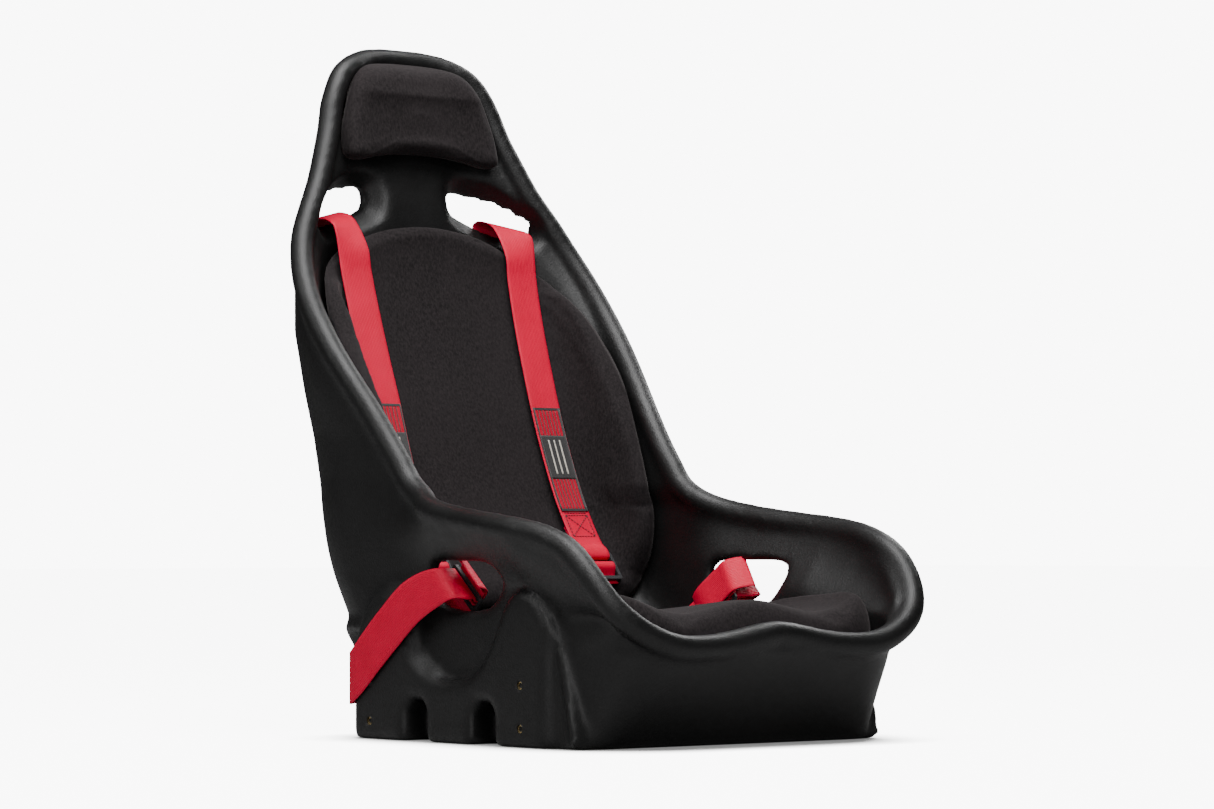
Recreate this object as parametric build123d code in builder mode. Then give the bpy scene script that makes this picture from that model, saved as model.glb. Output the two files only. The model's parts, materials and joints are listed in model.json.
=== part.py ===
from build123d import *
import math
import os

# Fixed-back bucket racing seat with comfort harness.
# Millimetres. +Z up, the occupant faces -Y, X = 0 is the symmetry plane.
# The origin is on the floor, under the middle of the seat.

# ---------------------------------------------------------------- driving dimensions
SEAT_HEIGHT = 880
HALF_WIDTH = 277
HALF_DEPTH = 382
BASE_HALF_WIDTH = 245
BASE_FRONT = -294
BASE_REAR = 134
WALL = 5
REACH = 1200                     # longer than the seat, for cuts that go right through

WEB_WIDTH = 48
WEB_THICK = 2
WEB_GAP = 0.5                    # clearance between webbing and what it lies on
FIT = 0.1                        # clearance between parts that touch
SHOULDER_X = 134                 # centre of each shoulder strap

PAD_BACK = 3                     # height of a pad's back face over the shell
STRIP_THICK = 2
STRIP_GAP = 0.3
HEAD_PAD_THICK = 26
BACK_PAD_THICK = 28
SKIN = 1.5                       # cover fabric
FOAM_GAP = 0.3

BAR = 5                          # adjuster bar width
BAR_THICK = 4
BAR_PITCH = (0, 20, 38)          # top, middle and lower bar, along the strap
ADJUSTER_WIDTH = 60
ADJUSTER_SLOT = 51

M8_CLEAR = 4.5
M8_SHANK = 4.0
M8_MINOR = 3.4
INSERT_RADIUS = 7                # hole for a threaded insert
INSERT_BODY = 6.98
INSERT_LENGTH = 14
INSERT_SINK = 1.5
INSERT_MOUTH = 5
INSERT_FLOOR = 1.9               # closed end of an insert
BOSS_RADIUS = 13
BOSS_LENGTH = 24
MOUNT_Y = -48                    # centre of the side bolt pattern
MOUNT_Z = 47
MOUNT_SPACING_Y = 290
MOUNT_SPACING_Z = 50
SIDES = (("left", 1), ("right", -1))


# ---------------------------------------------------------------- small helpers
def polar(vector):
    """The unit vector along (y, z)."""
    length = math.hypot(*vector)
    return (vector[0] / length, vector[1] / length)


def ribbon(points, half):
    """Closed outline of a band of half-thickness half along an open run of 2-D points."""
    normals = []
    for start, end in zip(points, points[1:]):
        along = polar((end[0] - start[0], end[1] - start[1]))
        normals.append((-along[1], along[0]))
    joints = [normals[0]]
    for before, after in zip(normals, normals[1:]):
        share = 1 + before[0] * after[0] + before[1] * after[1]
        joints.append(((before[0] + after[0]) / share, (before[1] + after[1]) / share))
    joints.append(normals[-1])
    upper = [(p[0] + n[0] * half, p[1] + n[1] * half) for p, n in zip(points, joints)]
    lower = [(p[0] - n[0] * half, p[1] - n[1] * half) for p, n in zip(points, joints)]
    return upper + lower[::-1]


def station(wire, height, lift):
    """Point (y, z) at a height on a rising YZ curve, moved off it towards the occupant."""
    low, high = 0.0, 1.0
    for _ in range(40):
        middle = (low + high) / 2
        if (wire @ middle).Z < height:
            low = middle
        else:
            high = middle
    point = wire @ low
    tangent = wire % low
    return (point.Y - tangent.Z * lift, point.Z + tangent.Y * lift)


def slope(wire, height):
    """Unit tangent (y, z) of a rising YZ curve at a height."""
    low = station(wire, height - 1, 0)
    high = station(wire, height + 1, 0)
    return polar((high[0] - low[0], high[1] - low[1]))


def levels(start, end, count):
    """Evenly spaced heights."""
    return [start + (end - start) * i / (count - 1) for i in range(count)]


def both_halves(points):
    """A closed outline, symmetric about X = 0, from its +X half."""
    return points + [(-x, z) for x, z in points[::-1] if x > 0]


# ---------------------------------------------------------------- shell outlines
REAR_POINTS = [(BASE_REAR, 0), (140, 35), (205, 130), (256, 216), (292, 328), (322, 468), (350, 600),
               (366, 700), (376, 800), (HALF_DEPTH, 866)]
RIM_POINTS = [(374, SEAT_HEIGHT), (342, 866), (320, 800), (292, 690), (256, 598), (192, 508), (108, 402),
              (60, 339), (34, 311), (-8, 295), (-83, 281), (-200, 269), (-274, 254), (-322, 223),
              (-354, 180), (-374, 142), (-HALF_DEPTH, 122)]
SPINE_POINTS = [(-360, 92), (-170, 86), (-30, 91), (60, 115), (130, 165), (200, 262), (259, 405),
                (314, 570), (341, 715), (353, 862)]
FRONT_HALF = [(BASE_HALF_WIDTH, 0), (BASE_HALF_WIDTH, 205), (262, 235), (HALF_WIDTH, 254), (268, 270),
              (250, 281), (238, 295), (233, 318), (237, 370), (246, 427), (254, 500), (247, 571),
              (237, 603), (211, 654), (187, 694), (167, 737), (154, 770), (144, 800), (132, 824),
              (101, 854), (68, 872), (20, SEAT_HEIGHT)]
FLOOR_HALF_WIDTH = 182           # flat part of the floor inside the bucket
WALL_FOOT = (196, 104)           # the inner side wall leans out between these two points
WALL_HEAD = (222, 210)
CAVITY_HALF = [(FLOOR_HALF_WIDTH, 84), WALL_FOOT, WALL_HEAD, (236, 232), (247, 250), (236, 268), (221, 280),
               (208, 291), (204, 309), (206, 340), (209, 385), (216, 427), (224, 500), (217, 571),
               (205, 603), (181, 654), (157, 694), (137, 737), (124, 770), (114, 797), (106, 822),
               (90, 843), (56, 859), (0, 864)]
PLAN_HALF = [(0, HALF_DEPTH), (80, HALF_DEPTH), (120, 366), (144, 354), (167, 340), (187, 328),
             (211, 310), (254, 256), (HALF_WIDTH, 212), (HALF_WIDTH, -210), (270, -260), (258, -300),
             (240, -336), (212, -362), (170, -377), (120, -HALF_DEPTH), (0, -HALF_DEPTH)]
CAVITY_PLAN = [(0, 400), (60, 400), (80, 358), (120, 340), (144, 326), (167, 312), (187, 298), (211, 276),
               (235, 244), (260, 200), (260, -250), (238, -300), (226, -326), (200, -344), (150, -352),
               (0, -352)]
SHOULDER_SLOT = [(58, 704), (104, 698), (135, 682), (163, 655), (161, 641), (150, 637), (112, 643),
                 (84, 652), (60, 666), (55, 690)]
LAP_SLOT = [(-8, 210), (-8, 176), (-22, 163), (-108, 163), (-133, 184), (-136, 203), (-124, 210)]
POCKET = [(-153, 158), (-151, 124), (-135, 90), (-100, 74), (-62, 84), (-23, 122), (-10, 158)]
POCKET_FLOOR = 227
NOTCHES = ((-143, -100), (-11, 28))
NOTCH_TOP = 48
NOTCH_FLOOR = 205
CORNER_X = 205                   # the rear corners step forward outside this width
CORNER_Y = 133
CORNER_TOP = 128


def yz_wire(points):
    """A smooth curve through (y, z) points."""
    with BuildLine(Plane.YZ) as curve:
        Spline(*points)
    return curve.wires()[0]


def shifted(wire, lift, count=16):
    """(y, z) points along a YZ curve, moved off it towards the left of its direction."""
    points = []
    for i in range(count):
        point = wire @ (i / (count - 1))
        tangent = wire % (i / (count - 1))
        points.append((point.Y - tangent.Z * lift, point.Z + tangent.Y * lift))
    return points


rear_wire = yz_wire(REAR_POINTS)
rim_wire = yz_wire(RIM_POINTS)
spine_wire = yz_wire(SPINE_POINTS)


def side_outline(inset):
    """YZ sketch of the seat's side outline, inset by a distance."""
    rear = shifted(rear_wire, inset)
    rim = shifted(rim_wire, inset)
    toe = (BASE_FRONT + inset, 0)
    with BuildSketch(Plane.YZ) as sketch:
        with BuildLine():
            Spline(*rear)
            Line(rear[-1], rim[0])
            Spline(*rim)
            Polyline(rim[-1], toe, rear[0])
        make_face()
    return sketch


def side_cavity(grow):
    """YZ sketch of everything in front of and above the spine curve, grown by a distance."""
    spine = shifted(spine_wire, -grow)
    with BuildSketch(Plane.YZ) as sketch:
        with BuildLine():
            Spline(*spine)
            Polyline(spine[-1], (spine[-1][0], REACH), (-REACH, REACH), (-REACH, spine[0][1]), spine[0])
        make_face()
    return sketch


def front_sketch(points):
    """Sketch on XZ of a symmetric outline."""
    with BuildSketch(Plane.XZ) as sketch:
        with BuildLine():
            Polyline(*both_halves(points), close=True)
        make_face()
    return sketch


def plan_sketch(points):
    """Sketch on XY of a symmetric outline."""
    with BuildSketch(Plane.XY) as sketch:
        with BuildLine():
            Polyline(*both_halves(points), close=True)
        make_face()
    return sketch


front_outline = front_sketch(FRONT_HALF)
front_cavity = front_sketch(CAVITY_HALF)
plan_outline = plan_sketch(PLAN_HALF)
plan_cavity = plan_sketch(CAVITY_PLAN)


def body(side, front, plan, grow):
    """Solid common to a side outline and to front and plan outlines grown by a distance."""
    with BuildPart() as solid:
        extrude(side.sketch, amount=REACH, both=True)
        for plane, outline in ((Plane.XZ, front), (Plane.XY, plan)):
            with BuildSketch(plane):
                add(outline.sketch_local)
                if grow:
                    offset(amount=grow, kind=Kind.ARC)
            extrude(amount=REACH, both=True, mode=Mode.INTERSECT)
    return solid.part


# ---------------------------------------------------------------- strap frames
def frame_at(origin, down, out):
    """Section plane of a strap: local X runs down the strap, local Y away from the shell."""
    return Plane(origin=origin, x_dir=down, z_dir=Vector(*down).cross(Vector(*out)))


ADJUSTER_LIFT = 37.5
ADJUSTER_BAR_Z = 200             # height of a shoulder adjuster's top bar
TUNNEL_Z = 646
REAR_ANCHOR_Z = 440
FLOOR_ANCHOR_Z = 140
LAP_BAR_Y = -49
LAP_BAR_Z = 186.5
LAP_BAR_LIFT = 9
LAP_SLANT = math.radians(39)     # the lap strap falls rearwards at this angle
WALL_LEAN = math.atan2(WALL_HEAD[0] - WALL_FOOT[0], WALL_HEAD[1] - WALL_FOOT[1])
LAP_RUN = 92                     # from the lap adjuster's top bar to the end of the webbing
LAP_END = 14                     # from the anchor bolt to the end of the webbing
LAP_PLATE_X = BASE_HALF_WIDTH + WEB_GAP
CORNER_ANCHOR = (224, 76)


def shoulder_frame(side):
    """Frame at the top bar of a shoulder adjuster."""
    y, z = station(spine_wire, ADJUSTER_BAR_Z, ADJUSTER_LIFT)
    rise = slope(spine_wire, ADJUSTER_BAR_Z)
    return frame_at((side * SHOULDER_X, y, z), (0, -rise[0], -rise[1]), (0, -rise[1], rise[0]))


def lap_frame(side):
    """Frame at the top bar of a lap adjuster, beside the inner wall."""
    wall_x = WALL_FOOT[0] + (LAP_BAR_Z - WALL_FOOT[1]) * math.tan(WALL_LEAN)
    inward = (-side * math.cos(WALL_LEAN), 0, math.sin(WALL_LEAN))
    down = (-side * math.sin(LAP_SLANT) * math.sin(WALL_LEAN), math.cos(LAP_SLANT),
            -math.sin(LAP_SLANT) * math.cos(WALL_LEAN))
    origin = (side * wall_x + LAP_BAR_LIFT * inward[0], LAP_BAR_Y, LAP_BAR_Z + LAP_BAR_LIFT * inward[2])
    return frame_at(origin, down, inward)


def on_surface(wire, height, x, outward):
    """Plane on the spine or the rear curve, its normal pointing out of the shell wall."""
    y, z = station(wire, height, 0)
    rise = slope(wire, height)
    return Plane(origin=(x, y, z), x_dir=(1, 0, 0), z_dir=(0, -outward * rise[1], outward * rise[0]))


def anchor_planes():
    """Plane of every strap anchor: on the shell surface, normal along the bolt, head side up."""
    planes = []
    for _, side in SIDES:
        planes.append(on_surface(rear_wire, REAR_ANCHOR_Z, side * SHOULDER_X, -1))
        planes.append(on_surface(spine_wire, FLOOR_ANCHOR_Z, side * SHOULDER_X, 1))
        planes.append(Plane(origin=(side * CORNER_ANCHOR[0], CORNER_Y, CORNER_ANCHOR[1]),
                            x_dir=(1, 0, 0), z_dir=(0, 1, 0)))
        section = lap_frame(side)
        end = section.origin + section.x_dir * (LAP_RUN - LAP_END) - section.y_dir * LAP_BAR_LIFT
        planes.append(Plane(origin=end, x_dir=section.x_dir, z_dir=section.y_dir))
    return planes


ANCHORS = anchor_planes()

# ---------------------------------------------------------------- seat shell
insert_points = [(MOUNT_Y + i * MOUNT_SPACING_Y / 2, MOUNT_Z + j * MOUNT_SPACING_Z / 2)
                 for i in (-1, 1) for j in (-1, 1)]


def openings(grow):
    """Slots, side pockets, base notches and rear corner steps, each grown by a distance."""
    with BuildPart() as cuts:
        for _, side in SIDES:
            with BuildSketch(Plane.XZ):
                with BuildLine():
                    Polyline(*[(side * x, z) for x, z in SHOULDER_SLOT], close=True)
                make_face()
                if grow:
                    offset(amount=grow, kind=Kind.INTERSECTION)
            extrude(amount=REACH, both=True)
            with BuildSketch(Plane.YZ):
                with BuildLine():
                    Polyline(*LAP_SLOT, close=True)
                make_face()
                if grow:
                    offset(amount=grow, kind=Kind.INTERSECTION)
            extrude(amount=side * REACH)
            with BuildSketch(Plane.YZ.offset(side * (POCKET_FLOOR - grow))):
                with BuildLine():
                    Polyline(*POCKET, close=True)
                make_face()
                if grow:
                    offset(amount=grow, kind=Kind.INTERSECTION)
            extrude(amount=side * REACH)
            for start, end in NOTCHES:
                with BuildSketch(Plane.YZ.offset(side * (NOTCH_FLOOR - grow))):
                    with Locations(((start + end) / 2, 0)):
                        Rectangle(end - start + 2 * grow, 2 * (NOTCH_TOP + grow))
                extrude(amount=side * REACH)
            with BuildSketch(Plane.XY.offset(-1)):
                with Locations((side * (CORNER_X - grow + 150), CORNER_Y - grow + 150)):
                    Rectangle(300, 300)
            extrude(amount=CORNER_TOP + grow + 1)
    return cuts.part


with BuildPart() as bosses:
    for _, side in SIDES:
        for y, z in insert_points:
            with BuildSketch(Plane(origin=(side * BASE_HALF_WIDTH, y, z), z_dir=(-side, 0, 0))):
                Circle(BOSS_RADIUS)
            extrude(amount=BOSS_LENGTH)
    for plane in ANCHORS:
        with BuildSketch(plane):
            Circle(BOSS_RADIUS)
        extrude(amount=-BOSS_LENGTH)

with BuildPart() as void:
    add(body(side_outline(WALL), front_outline, plan_outline, -WALL))
    add(body(side_cavity(WALL), front_cavity, plan_cavity, WALL), mode=Mode.SUBTRACT)
    add(openings(WALL), mode=Mode.SUBTRACT)
    add(bosses.part, mode=Mode.SUBTRACT)

VENT_Y = -60
VENT_RADIUS = 9

with BuildPart() as seat_shell:
    add(body(side_outline(0), front_outline, plan_outline, 0))
    add(body(side_cavity(0), front_cavity, plan_cavity, 0), mode=Mode.SUBTRACT)
    add(openings(0), mode=Mode.SUBTRACT)
    add(void.part.solids().sort_by(SortBy.VOLUME)[-1], mode=Mode.SUBTRACT)
    for _, side in SIDES:
        for y, z in insert_points:
            with Locations(Plane(origin=(side * BASE_HALF_WIDTH, y, z), z_dir=(side, 0, 0))):
                Hole(radius=INSERT_MOUTH, depth=INSERT_SINK)
            with Locations(Plane(origin=(side * (BASE_HALF_WIDTH - INSERT_SINK), y, z),
                                 z_dir=(side, 0, 0))):
                Hole(radius=INSERT_RADIUS, depth=INSERT_LENGTH)
    for plane in ANCHORS:
        with Locations(plane):
            Hole(radius=INSERT_RADIUS, depth=INSERT_LENGTH)
    with Locations(Plane(origin=(0, VENT_Y, 0), z_dir=(0, 0, -1))):
        Hole(radius=VENT_RADIUS, depth=WALL + 1)

seat_shell.part.label = "seat_shell"

with BuildPart() as vent_plug:
    with Locations((0, VENT_Y, WALL / 2)):
        Cylinder(radius=VENT_RADIUS - 0.1, height=WALL - 0.4)
    with Locations((0, VENT_Y, WALL - 0.2)):
        Cylinder(radius=VENT_RADIUS - 1.5, height=4, align=(Align.CENTER, Align.CENTER, Align.MIN))
    with Locations((0, VENT_Y, WALL + 3.8)):
        Cone(bottom_radius=VENT_RADIUS - 0.4, top_radius=VENT_RADIUS - 3, height=3,
             align=(Align.CENTER, Align.CENTER, Align.MIN))
vent_plug.part.label = "vent_plug"


# ---------------------------------------------------------------- threaded inserts
def inserts(planes):
    """Blind M8 threaded inserts, mouth on each plane, barrel along its -Z."""
    with BuildPart() as group:
        for plane in planes:
            with BuildSketch(plane):
                Circle(INSERT_BODY)
                Circle(M8_MINOR, mode=Mode.SUBTRACT)
            extrude(amount=-(INSERT_LENGTH - 2))
            with BuildSketch(plane.offset(-(INSERT_LENGTH - 2))):
                Circle(INSERT_BODY)
            extrude(amount=-INSERT_FLOOR)
    return group


side_inserts = []
for name, side in SIDES:
    mouth = side * (BASE_HALF_WIDTH - INSERT_SINK)
    group = inserts([Plane(origin=(mouth, y, z), x_dir=(0, 1, 0), z_dir=(side, 0, 0))
                     for y, z in insert_points])
    group.part.label = "side_inserts_" + name
    side_inserts.append(group)

anchor_inserts = inserts([plane.offset(-FIT) for plane in ANCHORS])
anchor_inserts.part.label = "anchor_inserts"


# ---------------------------------------------------------------- pads
def slab(wire, low, high, bottom, top, half_width, outline, shrink):
    """Slab along a rising YZ curve between two heights and two lifts, trimmed to an XZ outline."""
    heights = levels(low, high, 14)
    back = [station(wire, z, bottom) for z in heights]
    face = [station(wire, z, top) for z in heights]
    with BuildPart() as solid:
        with BuildSketch(Plane.YZ):
            with BuildLine():
                Polyline(*(back + face[::-1]), close=True)
            make_face()
        extrude(amount=half_width, both=True)
        if outline:
            with BuildSketch(Plane.XZ):
                with BuildLine():
                    Polyline(*both_halves(outline), close=True)
                make_face()
                if shrink:
                    offset(amount=-shrink, kind=Kind.INTERSECTION)
            extrude(amount=REACH, both=True, mode=Mode.INTERSECT)
        with BuildSketch(Plane.XY):
            add(plan_cavity.sketch_local)
            offset(amount=-2 - shrink, kind=Kind.INTERSECTION)
        extrude(amount=REACH, both=True, mode=Mode.INTERSECT)
    return solid.part


def padded(label, make, strips):
    """Cover, foam and fastener strips of a pad whose solid is make(inset)."""
    with BuildPart() as cover:
        add(make(0))
        add(make(SKIN), mode=Mode.SUBTRACT)
    cover.part.label = label + "_cover"
    with BuildPart() as foam:
        add(make(SKIN + FOAM_GAP))
    foam.part.label = label + "_foam"
    strips.label = label + "_fastener_strips"
    return [cover.part, foam.part, strips]


HEAD_OUTLINE = [(0, 740), (60, 737), (112, 729), (120, 745), (116, 770), (104, 808), (84, 840),
                (52, 855), (20, 858)]
BACK_OUTLINE = [(0, 150), (165, 150), (178, 190), (190, 300), (198, 400), (206, 470), (204, 514),
                (184, 554), (145, 588), (99, 612), (60, 630), (20, 637)]


def head_pad(inset):
    return slab(spine_wire, 712 + inset, 859 - inset, PAD_BACK + inset, PAD_BACK + HEAD_PAD_THICK - inset,
                200, HEAD_OUTLINE, inset)


WING_INNER = 174                 # the back pad's wings lie along the side walls
WING_THICK = 27
WING_REACH = [(205, 60), (250, 100), (290, 116), (430, 100), (480, 84)]   # (height, reach off the spine)


def back_pad(inset):
    """Back pad: a slab on the back, and a wing that comes forward along each side wall."""
    behind = [station(spine_wire, z, PAD_BACK + 5) for z, _ in WING_REACH]
    ahead = [station(spine_wire, z, reach) for z, reach in WING_REACH]
    with BuildPart() as pad:
        add(slab(spine_wire, 186 + inset, 625 - inset, PAD_BACK + inset, PAD_BACK + BACK_PAD_THICK - inset,
                 300, BACK_OUTLINE, inset))
        for _, side in SIDES:
            with BuildSketch(Plane.YZ.offset(side * (WING_INNER + inset))):
                with BuildLine():
                    Polyline(*(behind + ahead[::-1]), close=True)
                make_face()
                if inset:
                    offset(amount=-inset, kind=Kind.INTERSECTION)
            extrude(amount=side * (WING_THICK - 2 * inset))
    return pad.part


def strips_behind(low, high, centres, width):
    """Hook-and-loop strips between the shell and a pad's back face."""
    with BuildPart() as group:
        for centre in centres:
            heights = levels(low, high, 8)
            back = [station(spine_wire, z, STRIP_GAP) for z in heights]
            face = [station(spine_wire, z, STRIP_GAP + STRIP_THICK) for z in heights]
            with BuildSketch(Plane.YZ.offset(centre)):
                with BuildLine():
                    Polyline(*(back + face[::-1]), close=True)
                make_face()
            extrude(amount=width / 2, both=True)
    return group.part


headrest = padded("headrest", head_pad, strips_behind(755, 835, (-55, 55), 25))
back_rest = padded("back_pad", back_pad, strips_behind(240, 500, (-90, 90), 40))

CUSHION_FRONT = -346
CUSHION_REAR = 58
CUSHION_SIDE_GAP = 14
CUSHION_HALF_WIDTH = 180
CUSHION_TOP = [(CUSHION_REAR, 150), (30, 157), (-60, 159), (-200, 161), (-300, 168), (-332, 164),
               (-345, 148), (CUSHION_FRONT, 128)]


def floor_height(y):
    """Height of the shell floor at a place along the seat."""
    low, high = 0.0, 1.0
    for _ in range(40):
        middle = (low + high) / 2
        if (spine_wire @ middle).Y < y:
            low = middle
        else:
            high = middle
    return (spine_wire @ low).Z


FLOOR_PLACES = (CUSHION_FRONT, -300, -240, -170, -100, -40, 10, 35, CUSHION_REAR)


def cushion(inset):
    floor = [(y, floor_height(y) + PAD_BACK) for y in FLOOR_PLACES]
    with BuildPart() as solid:
        with BuildSketch(Plane.YZ):
            with BuildLine():
                Polyline(*(floor + CUSHION_TOP), close=True)
            make_face()
            if inset:
                offset(amount=-inset, kind=Kind.INTERSECTION)
        extrude(amount=HALF_WIDTH, both=True)
        with BuildSketch(Plane.XZ):
            add(front_cavity.sketch_local)
            offset(amount=-CUSHION_SIDE_GAP - inset, kind=Kind.INTERSECTION)
            with Locations((0, -100)):
                Rectangle(2 * (FLOOR_HALF_WIDTH - CUSHION_SIDE_GAP - inset), 420)
            Rectangle(2 * (CUSHION_HALF_WIDTH - inset), REACH, mode=Mode.INTERSECT)
        extrude(amount=REACH, both=True, mode=Mode.INTERSECT)
        with BuildSketch(Plane.XY):
            add(plan_cavity.sketch_local)
            offset(amount=-3 - inset, kind=Kind.INTERSECTION)
        extrude(amount=REACH, both=True, mode=Mode.INTERSECT)
    return solid.part


with BuildPart() as cushion_strips:
    for x in (-100, 100):
        places = (-260, -220, -180, -140, -100)
        lower = [(y, floor_height(y) + STRIP_GAP) for y in places]
        upper = [(y, height + STRIP_THICK) for y, height in lower]
        with BuildSketch(Plane.YZ.offset(x)):
            with BuildLine():
                Polyline(*(lower + upper[::-1]), close=True)
            make_face()
        extrude(amount=20, both=True)
seat_cushion = padded("seat_cushion", cushion, cushion_strips.part)


# ---------------------------------------------------------------- adjusters
def adjuster(section):
    """Three-bar slide: section's local X runs down the strap, local Y is the slide's thickness."""
    face = Plane(origin=section.origin, x_dir=section.x_dir, z_dir=section.y_dir)
    length = BAR_PITCH[-1] + BAR
    middle = BAR_PITCH[-1] / 2
    with BuildPart() as frame:
        with BuildSketch(face.offset(-BAR_THICK / 2)):
            with Locations((middle, 0)):
                RectangleRounded(length, ADJUSTER_WIDTH, 4)
            for start, end in zip(BAR_PITCH, BAR_PITCH[1:]):
                with Locations(((start + end) / 2, 0)):
                    Rectangle(end - start - BAR, ADJUSTER_SLOT, mode=Mode.SUBTRACT)
        extrude(amount=BAR_THICK)
    return frame


# layer offsets of the webbing from the plane of the slide's bars
BAR_SWING = 3.4                  # clearance radius that a tilting bar needs inside its loop
LOOP = BAR_SWING + WEB_THICK / 2
LAYER = WEB_THICK / 2 + FIT
UPPER_LOOP = [(-15, LAYER), (-5, LOOP), (3, LOOP), (7, 2.2), (7, -2.2), (3, -LOOP), (-5, -LOOP),
              (-15, -LAYER), (-44, -LAYER)]
THREADED = [(10, -LOOP), (16.5, LOOP), (23.5, LOOP), (32.5, -LOOP), (44, -LOOP)]


def strap(plane, points, thick):
    """Flat band: an open run of points in a plane, extruded to the webbing's width."""
    with BuildPart() as band:
        with BuildSketch(plane):
            with BuildLine():
                Polyline(*ribbon(points, thick / 2), close=True)
            make_face()
        extrude(amount=WEB_WIDTH / 2, both=True)
    return band


# ---------------------------------------------------------------- shoulder straps
shoulder_bar = shoulder_frame(1)


def beside_bar(v, n):
    """(y, z) of a point v down the strap and n off it, from the shoulder adjuster's top bar."""
    point = shoulder_bar.origin + shoulder_bar.x_dir * v + shoulder_bar.y_dir * n
    return (point.Y, point.Z)


LIE = WEB_THICK / 2 + WEB_GAP    # lift of webbing that lies on the shell
FLOOR_LIE = LIE + 0.4
STRAP_LIFT = ADJUSTER_LIFT + LAYER
rear_run = [station(rear_wire, z, -LIE) for z in levels(REAR_ANCHOR_Z - 22, 630, 8)]
tunnel_run = [(station(rear_wire, TUNNEL_Z, 0)[0] + 3, TUNNEL_Z),
              (station(spine_wire, 640, 0)[0] - 14, TUNNEL_Z)]
front_run = [station(spine_wire, z, STRAP_LIFT) for z in levels(600, 262, 10)]
shoulder_route = rear_run + tunnel_run + front_run + [beside_bar(v, n) for v, n in UPPER_LOOP]
lower_route = [beside_bar(v, n) for v, n in THREADED]
lower_route += [station(spine_wire, z, lift)
                for z, lift in ((172, 30), (164, 14), (156, FLOOR_LIE), (FLOOR_ANCHOR_Z, FLOOR_LIE),
                                (124, FLOOR_LIE))]
PATCH_HALF_THICK = 0.4
patch_lift = STRAP_LIFT + WEB_THICK / 2 + 0.3 + PATCH_HALF_THICK
patch_route = [station(spine_wire, z, patch_lift) for z in levels(375, 262, 5)]

with BuildPart() as bolt_holes:
    for plane in ANCHORS:
        with BuildSketch(plane):
            Circle(M8_CLEAR)
        extrude(amount=12, both=True)


def drilled(band):
    """Webbing with holes where the anchor bolts pass through it."""
    with BuildPart() as holed:
        add(band.part)
        add(bolt_holes.part, mode=Mode.SUBTRACT)
    return holed.part


shoulder_parts = []
for name, side in SIDES:
    lengthwise = Plane.YZ.offset(side * SHOULDER_X)
    pieces = {"webbing": drilled(strap(lengthwise, shoulder_route, WEB_THICK)),
              "lower_webbing": drilled(strap(lengthwise, lower_route, WEB_THICK)),
              "patch": strap(lengthwise, patch_route, 2 * PATCH_HALF_THICK).part,
              "adjuster": adjuster(shoulder_frame(side)).part}
    for kind, piece in pieces.items():
        piece.label = "shoulder_" + kind + "_" + name
        shoulder_parts.append(piece)

# ---------------------------------------------------------------- lap straps
LAP_LOOP = [(4, -3.8), (7, -0.8), (6.4, 2.8), (3, LOOP), (-8, LOOP)]
WRAP_Y = BASE_REAR + 2.3         # rear face of the webbing where it goes round the corner
WRAP_Z = (43, 106)
BAND = [(-42.8, 205), (-5, 200), (28, 188), (52, 174), (WRAP_Y, WRAP_Z[1]), (WRAP_Y, WRAP_Z[0]),
        (123, WRAP_Z[0]), (78, 81), (27, 121), (-3, 144), (-39, 160), (-73.2, 168)]
WRAP_END = CORNER_X + 3
lap_inner_route = THREADED[:4] + [(44, -LOOP), (LAP_RUN - 34, -LAP_BAR_LIFT + LIE),
                                  (LAP_RUN, -LAP_BAR_LIFT + LIE)]
lap_parts = []
for name, side in SIDES:
    section = lap_frame(side)
    with BuildPart() as outer:
        with BuildSketch(Plane.YZ.offset(side * LAP_PLATE_X)):
            with BuildLine():
                Polyline(*BAND, close=True)
            make_face()
        extrude(amount=side * WEB_THICK)
        with BuildSketch(Plane.XZ.offset(-CORNER_Y - WEB_GAP)):
            with Locations((side * (LAP_PLATE_X + WEB_THICK + WRAP_END) / 2, sum(WRAP_Z) / 2)):
                Rectangle(LAP_PLATE_X + WEB_THICK - WRAP_END, WRAP_Z[1] - WRAP_Z[0])
        extrude(amount=-WEB_THICK)
        with BuildSketch(section):
            with BuildLine():
                wall = LAP_PLATE_X + WEB_THICK / 2 - abs(section.origin.X)
                exit_run = [(-11.6, -wall), (-5, -13), (-1, -LOOP - 1)]
                Polyline(*ribbon(exit_run + LAP_LOOP, WEB_THICK / 2), close=True)
            make_face()
        extrude(amount=WEB_WIDTH / 2, both=True)
    pieces = {"webbing_outer": drilled(outer),
              "webbing_inner": drilled(strap(section, lap_inner_route, WEB_THICK)),
              "adjuster": adjuster(section).part}
    for kind, piece in pieces.items():
        piece.label = "lap_" + kind + "_" + name
        lap_parts.append(piece)

# ---------------------------------------------------------------- strap anchors
PLATE_LENGTH = 34
PLATE_WIDTH = 26
PLATE_THICK = 2.5
PLATE_LIFT = WEB_THICK + 2 * WEB_GAP + 0.8   # clear of the webbing's bend under the plate
WASHER_RADIUS = 8
WASHER_THICK = 1.6
HEAD_RADIUS = 6.5
HEAD_HEIGHT = 5

with BuildPart() as anchor_plates:
    for plane in ANCHORS:
        with BuildSketch(plane.offset(PLATE_LIFT)):
            RectangleRounded(PLATE_LENGTH, PLATE_WIDTH, 5)
            Circle(M8_CLEAR, mode=Mode.SUBTRACT)
        extrude(amount=PLATE_THICK)
anchor_plates.part.label = "anchor_plates"

with BuildPart() as anchor_washers:
    for plane in ANCHORS:
        with BuildSketch(plane.offset(PLATE_LIFT + PLATE_THICK + FIT / 2)):
            Circle(WASHER_RADIUS)
            Circle(M8_SHANK + 2 * FIT, mode=Mode.SUBTRACT)
        extrude(amount=WASHER_THICK)
anchor_washers.part.label = "anchor_washers"

HEAD_LIFT = PLATE_LIFT + PLATE_THICK + WASHER_THICK + FIT
SOCKET_RADIUS = 2.9
SOCKET_DEPTH = 3
BOLT_REACH = 11                  # depth of the shank below the shell's surface

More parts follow.
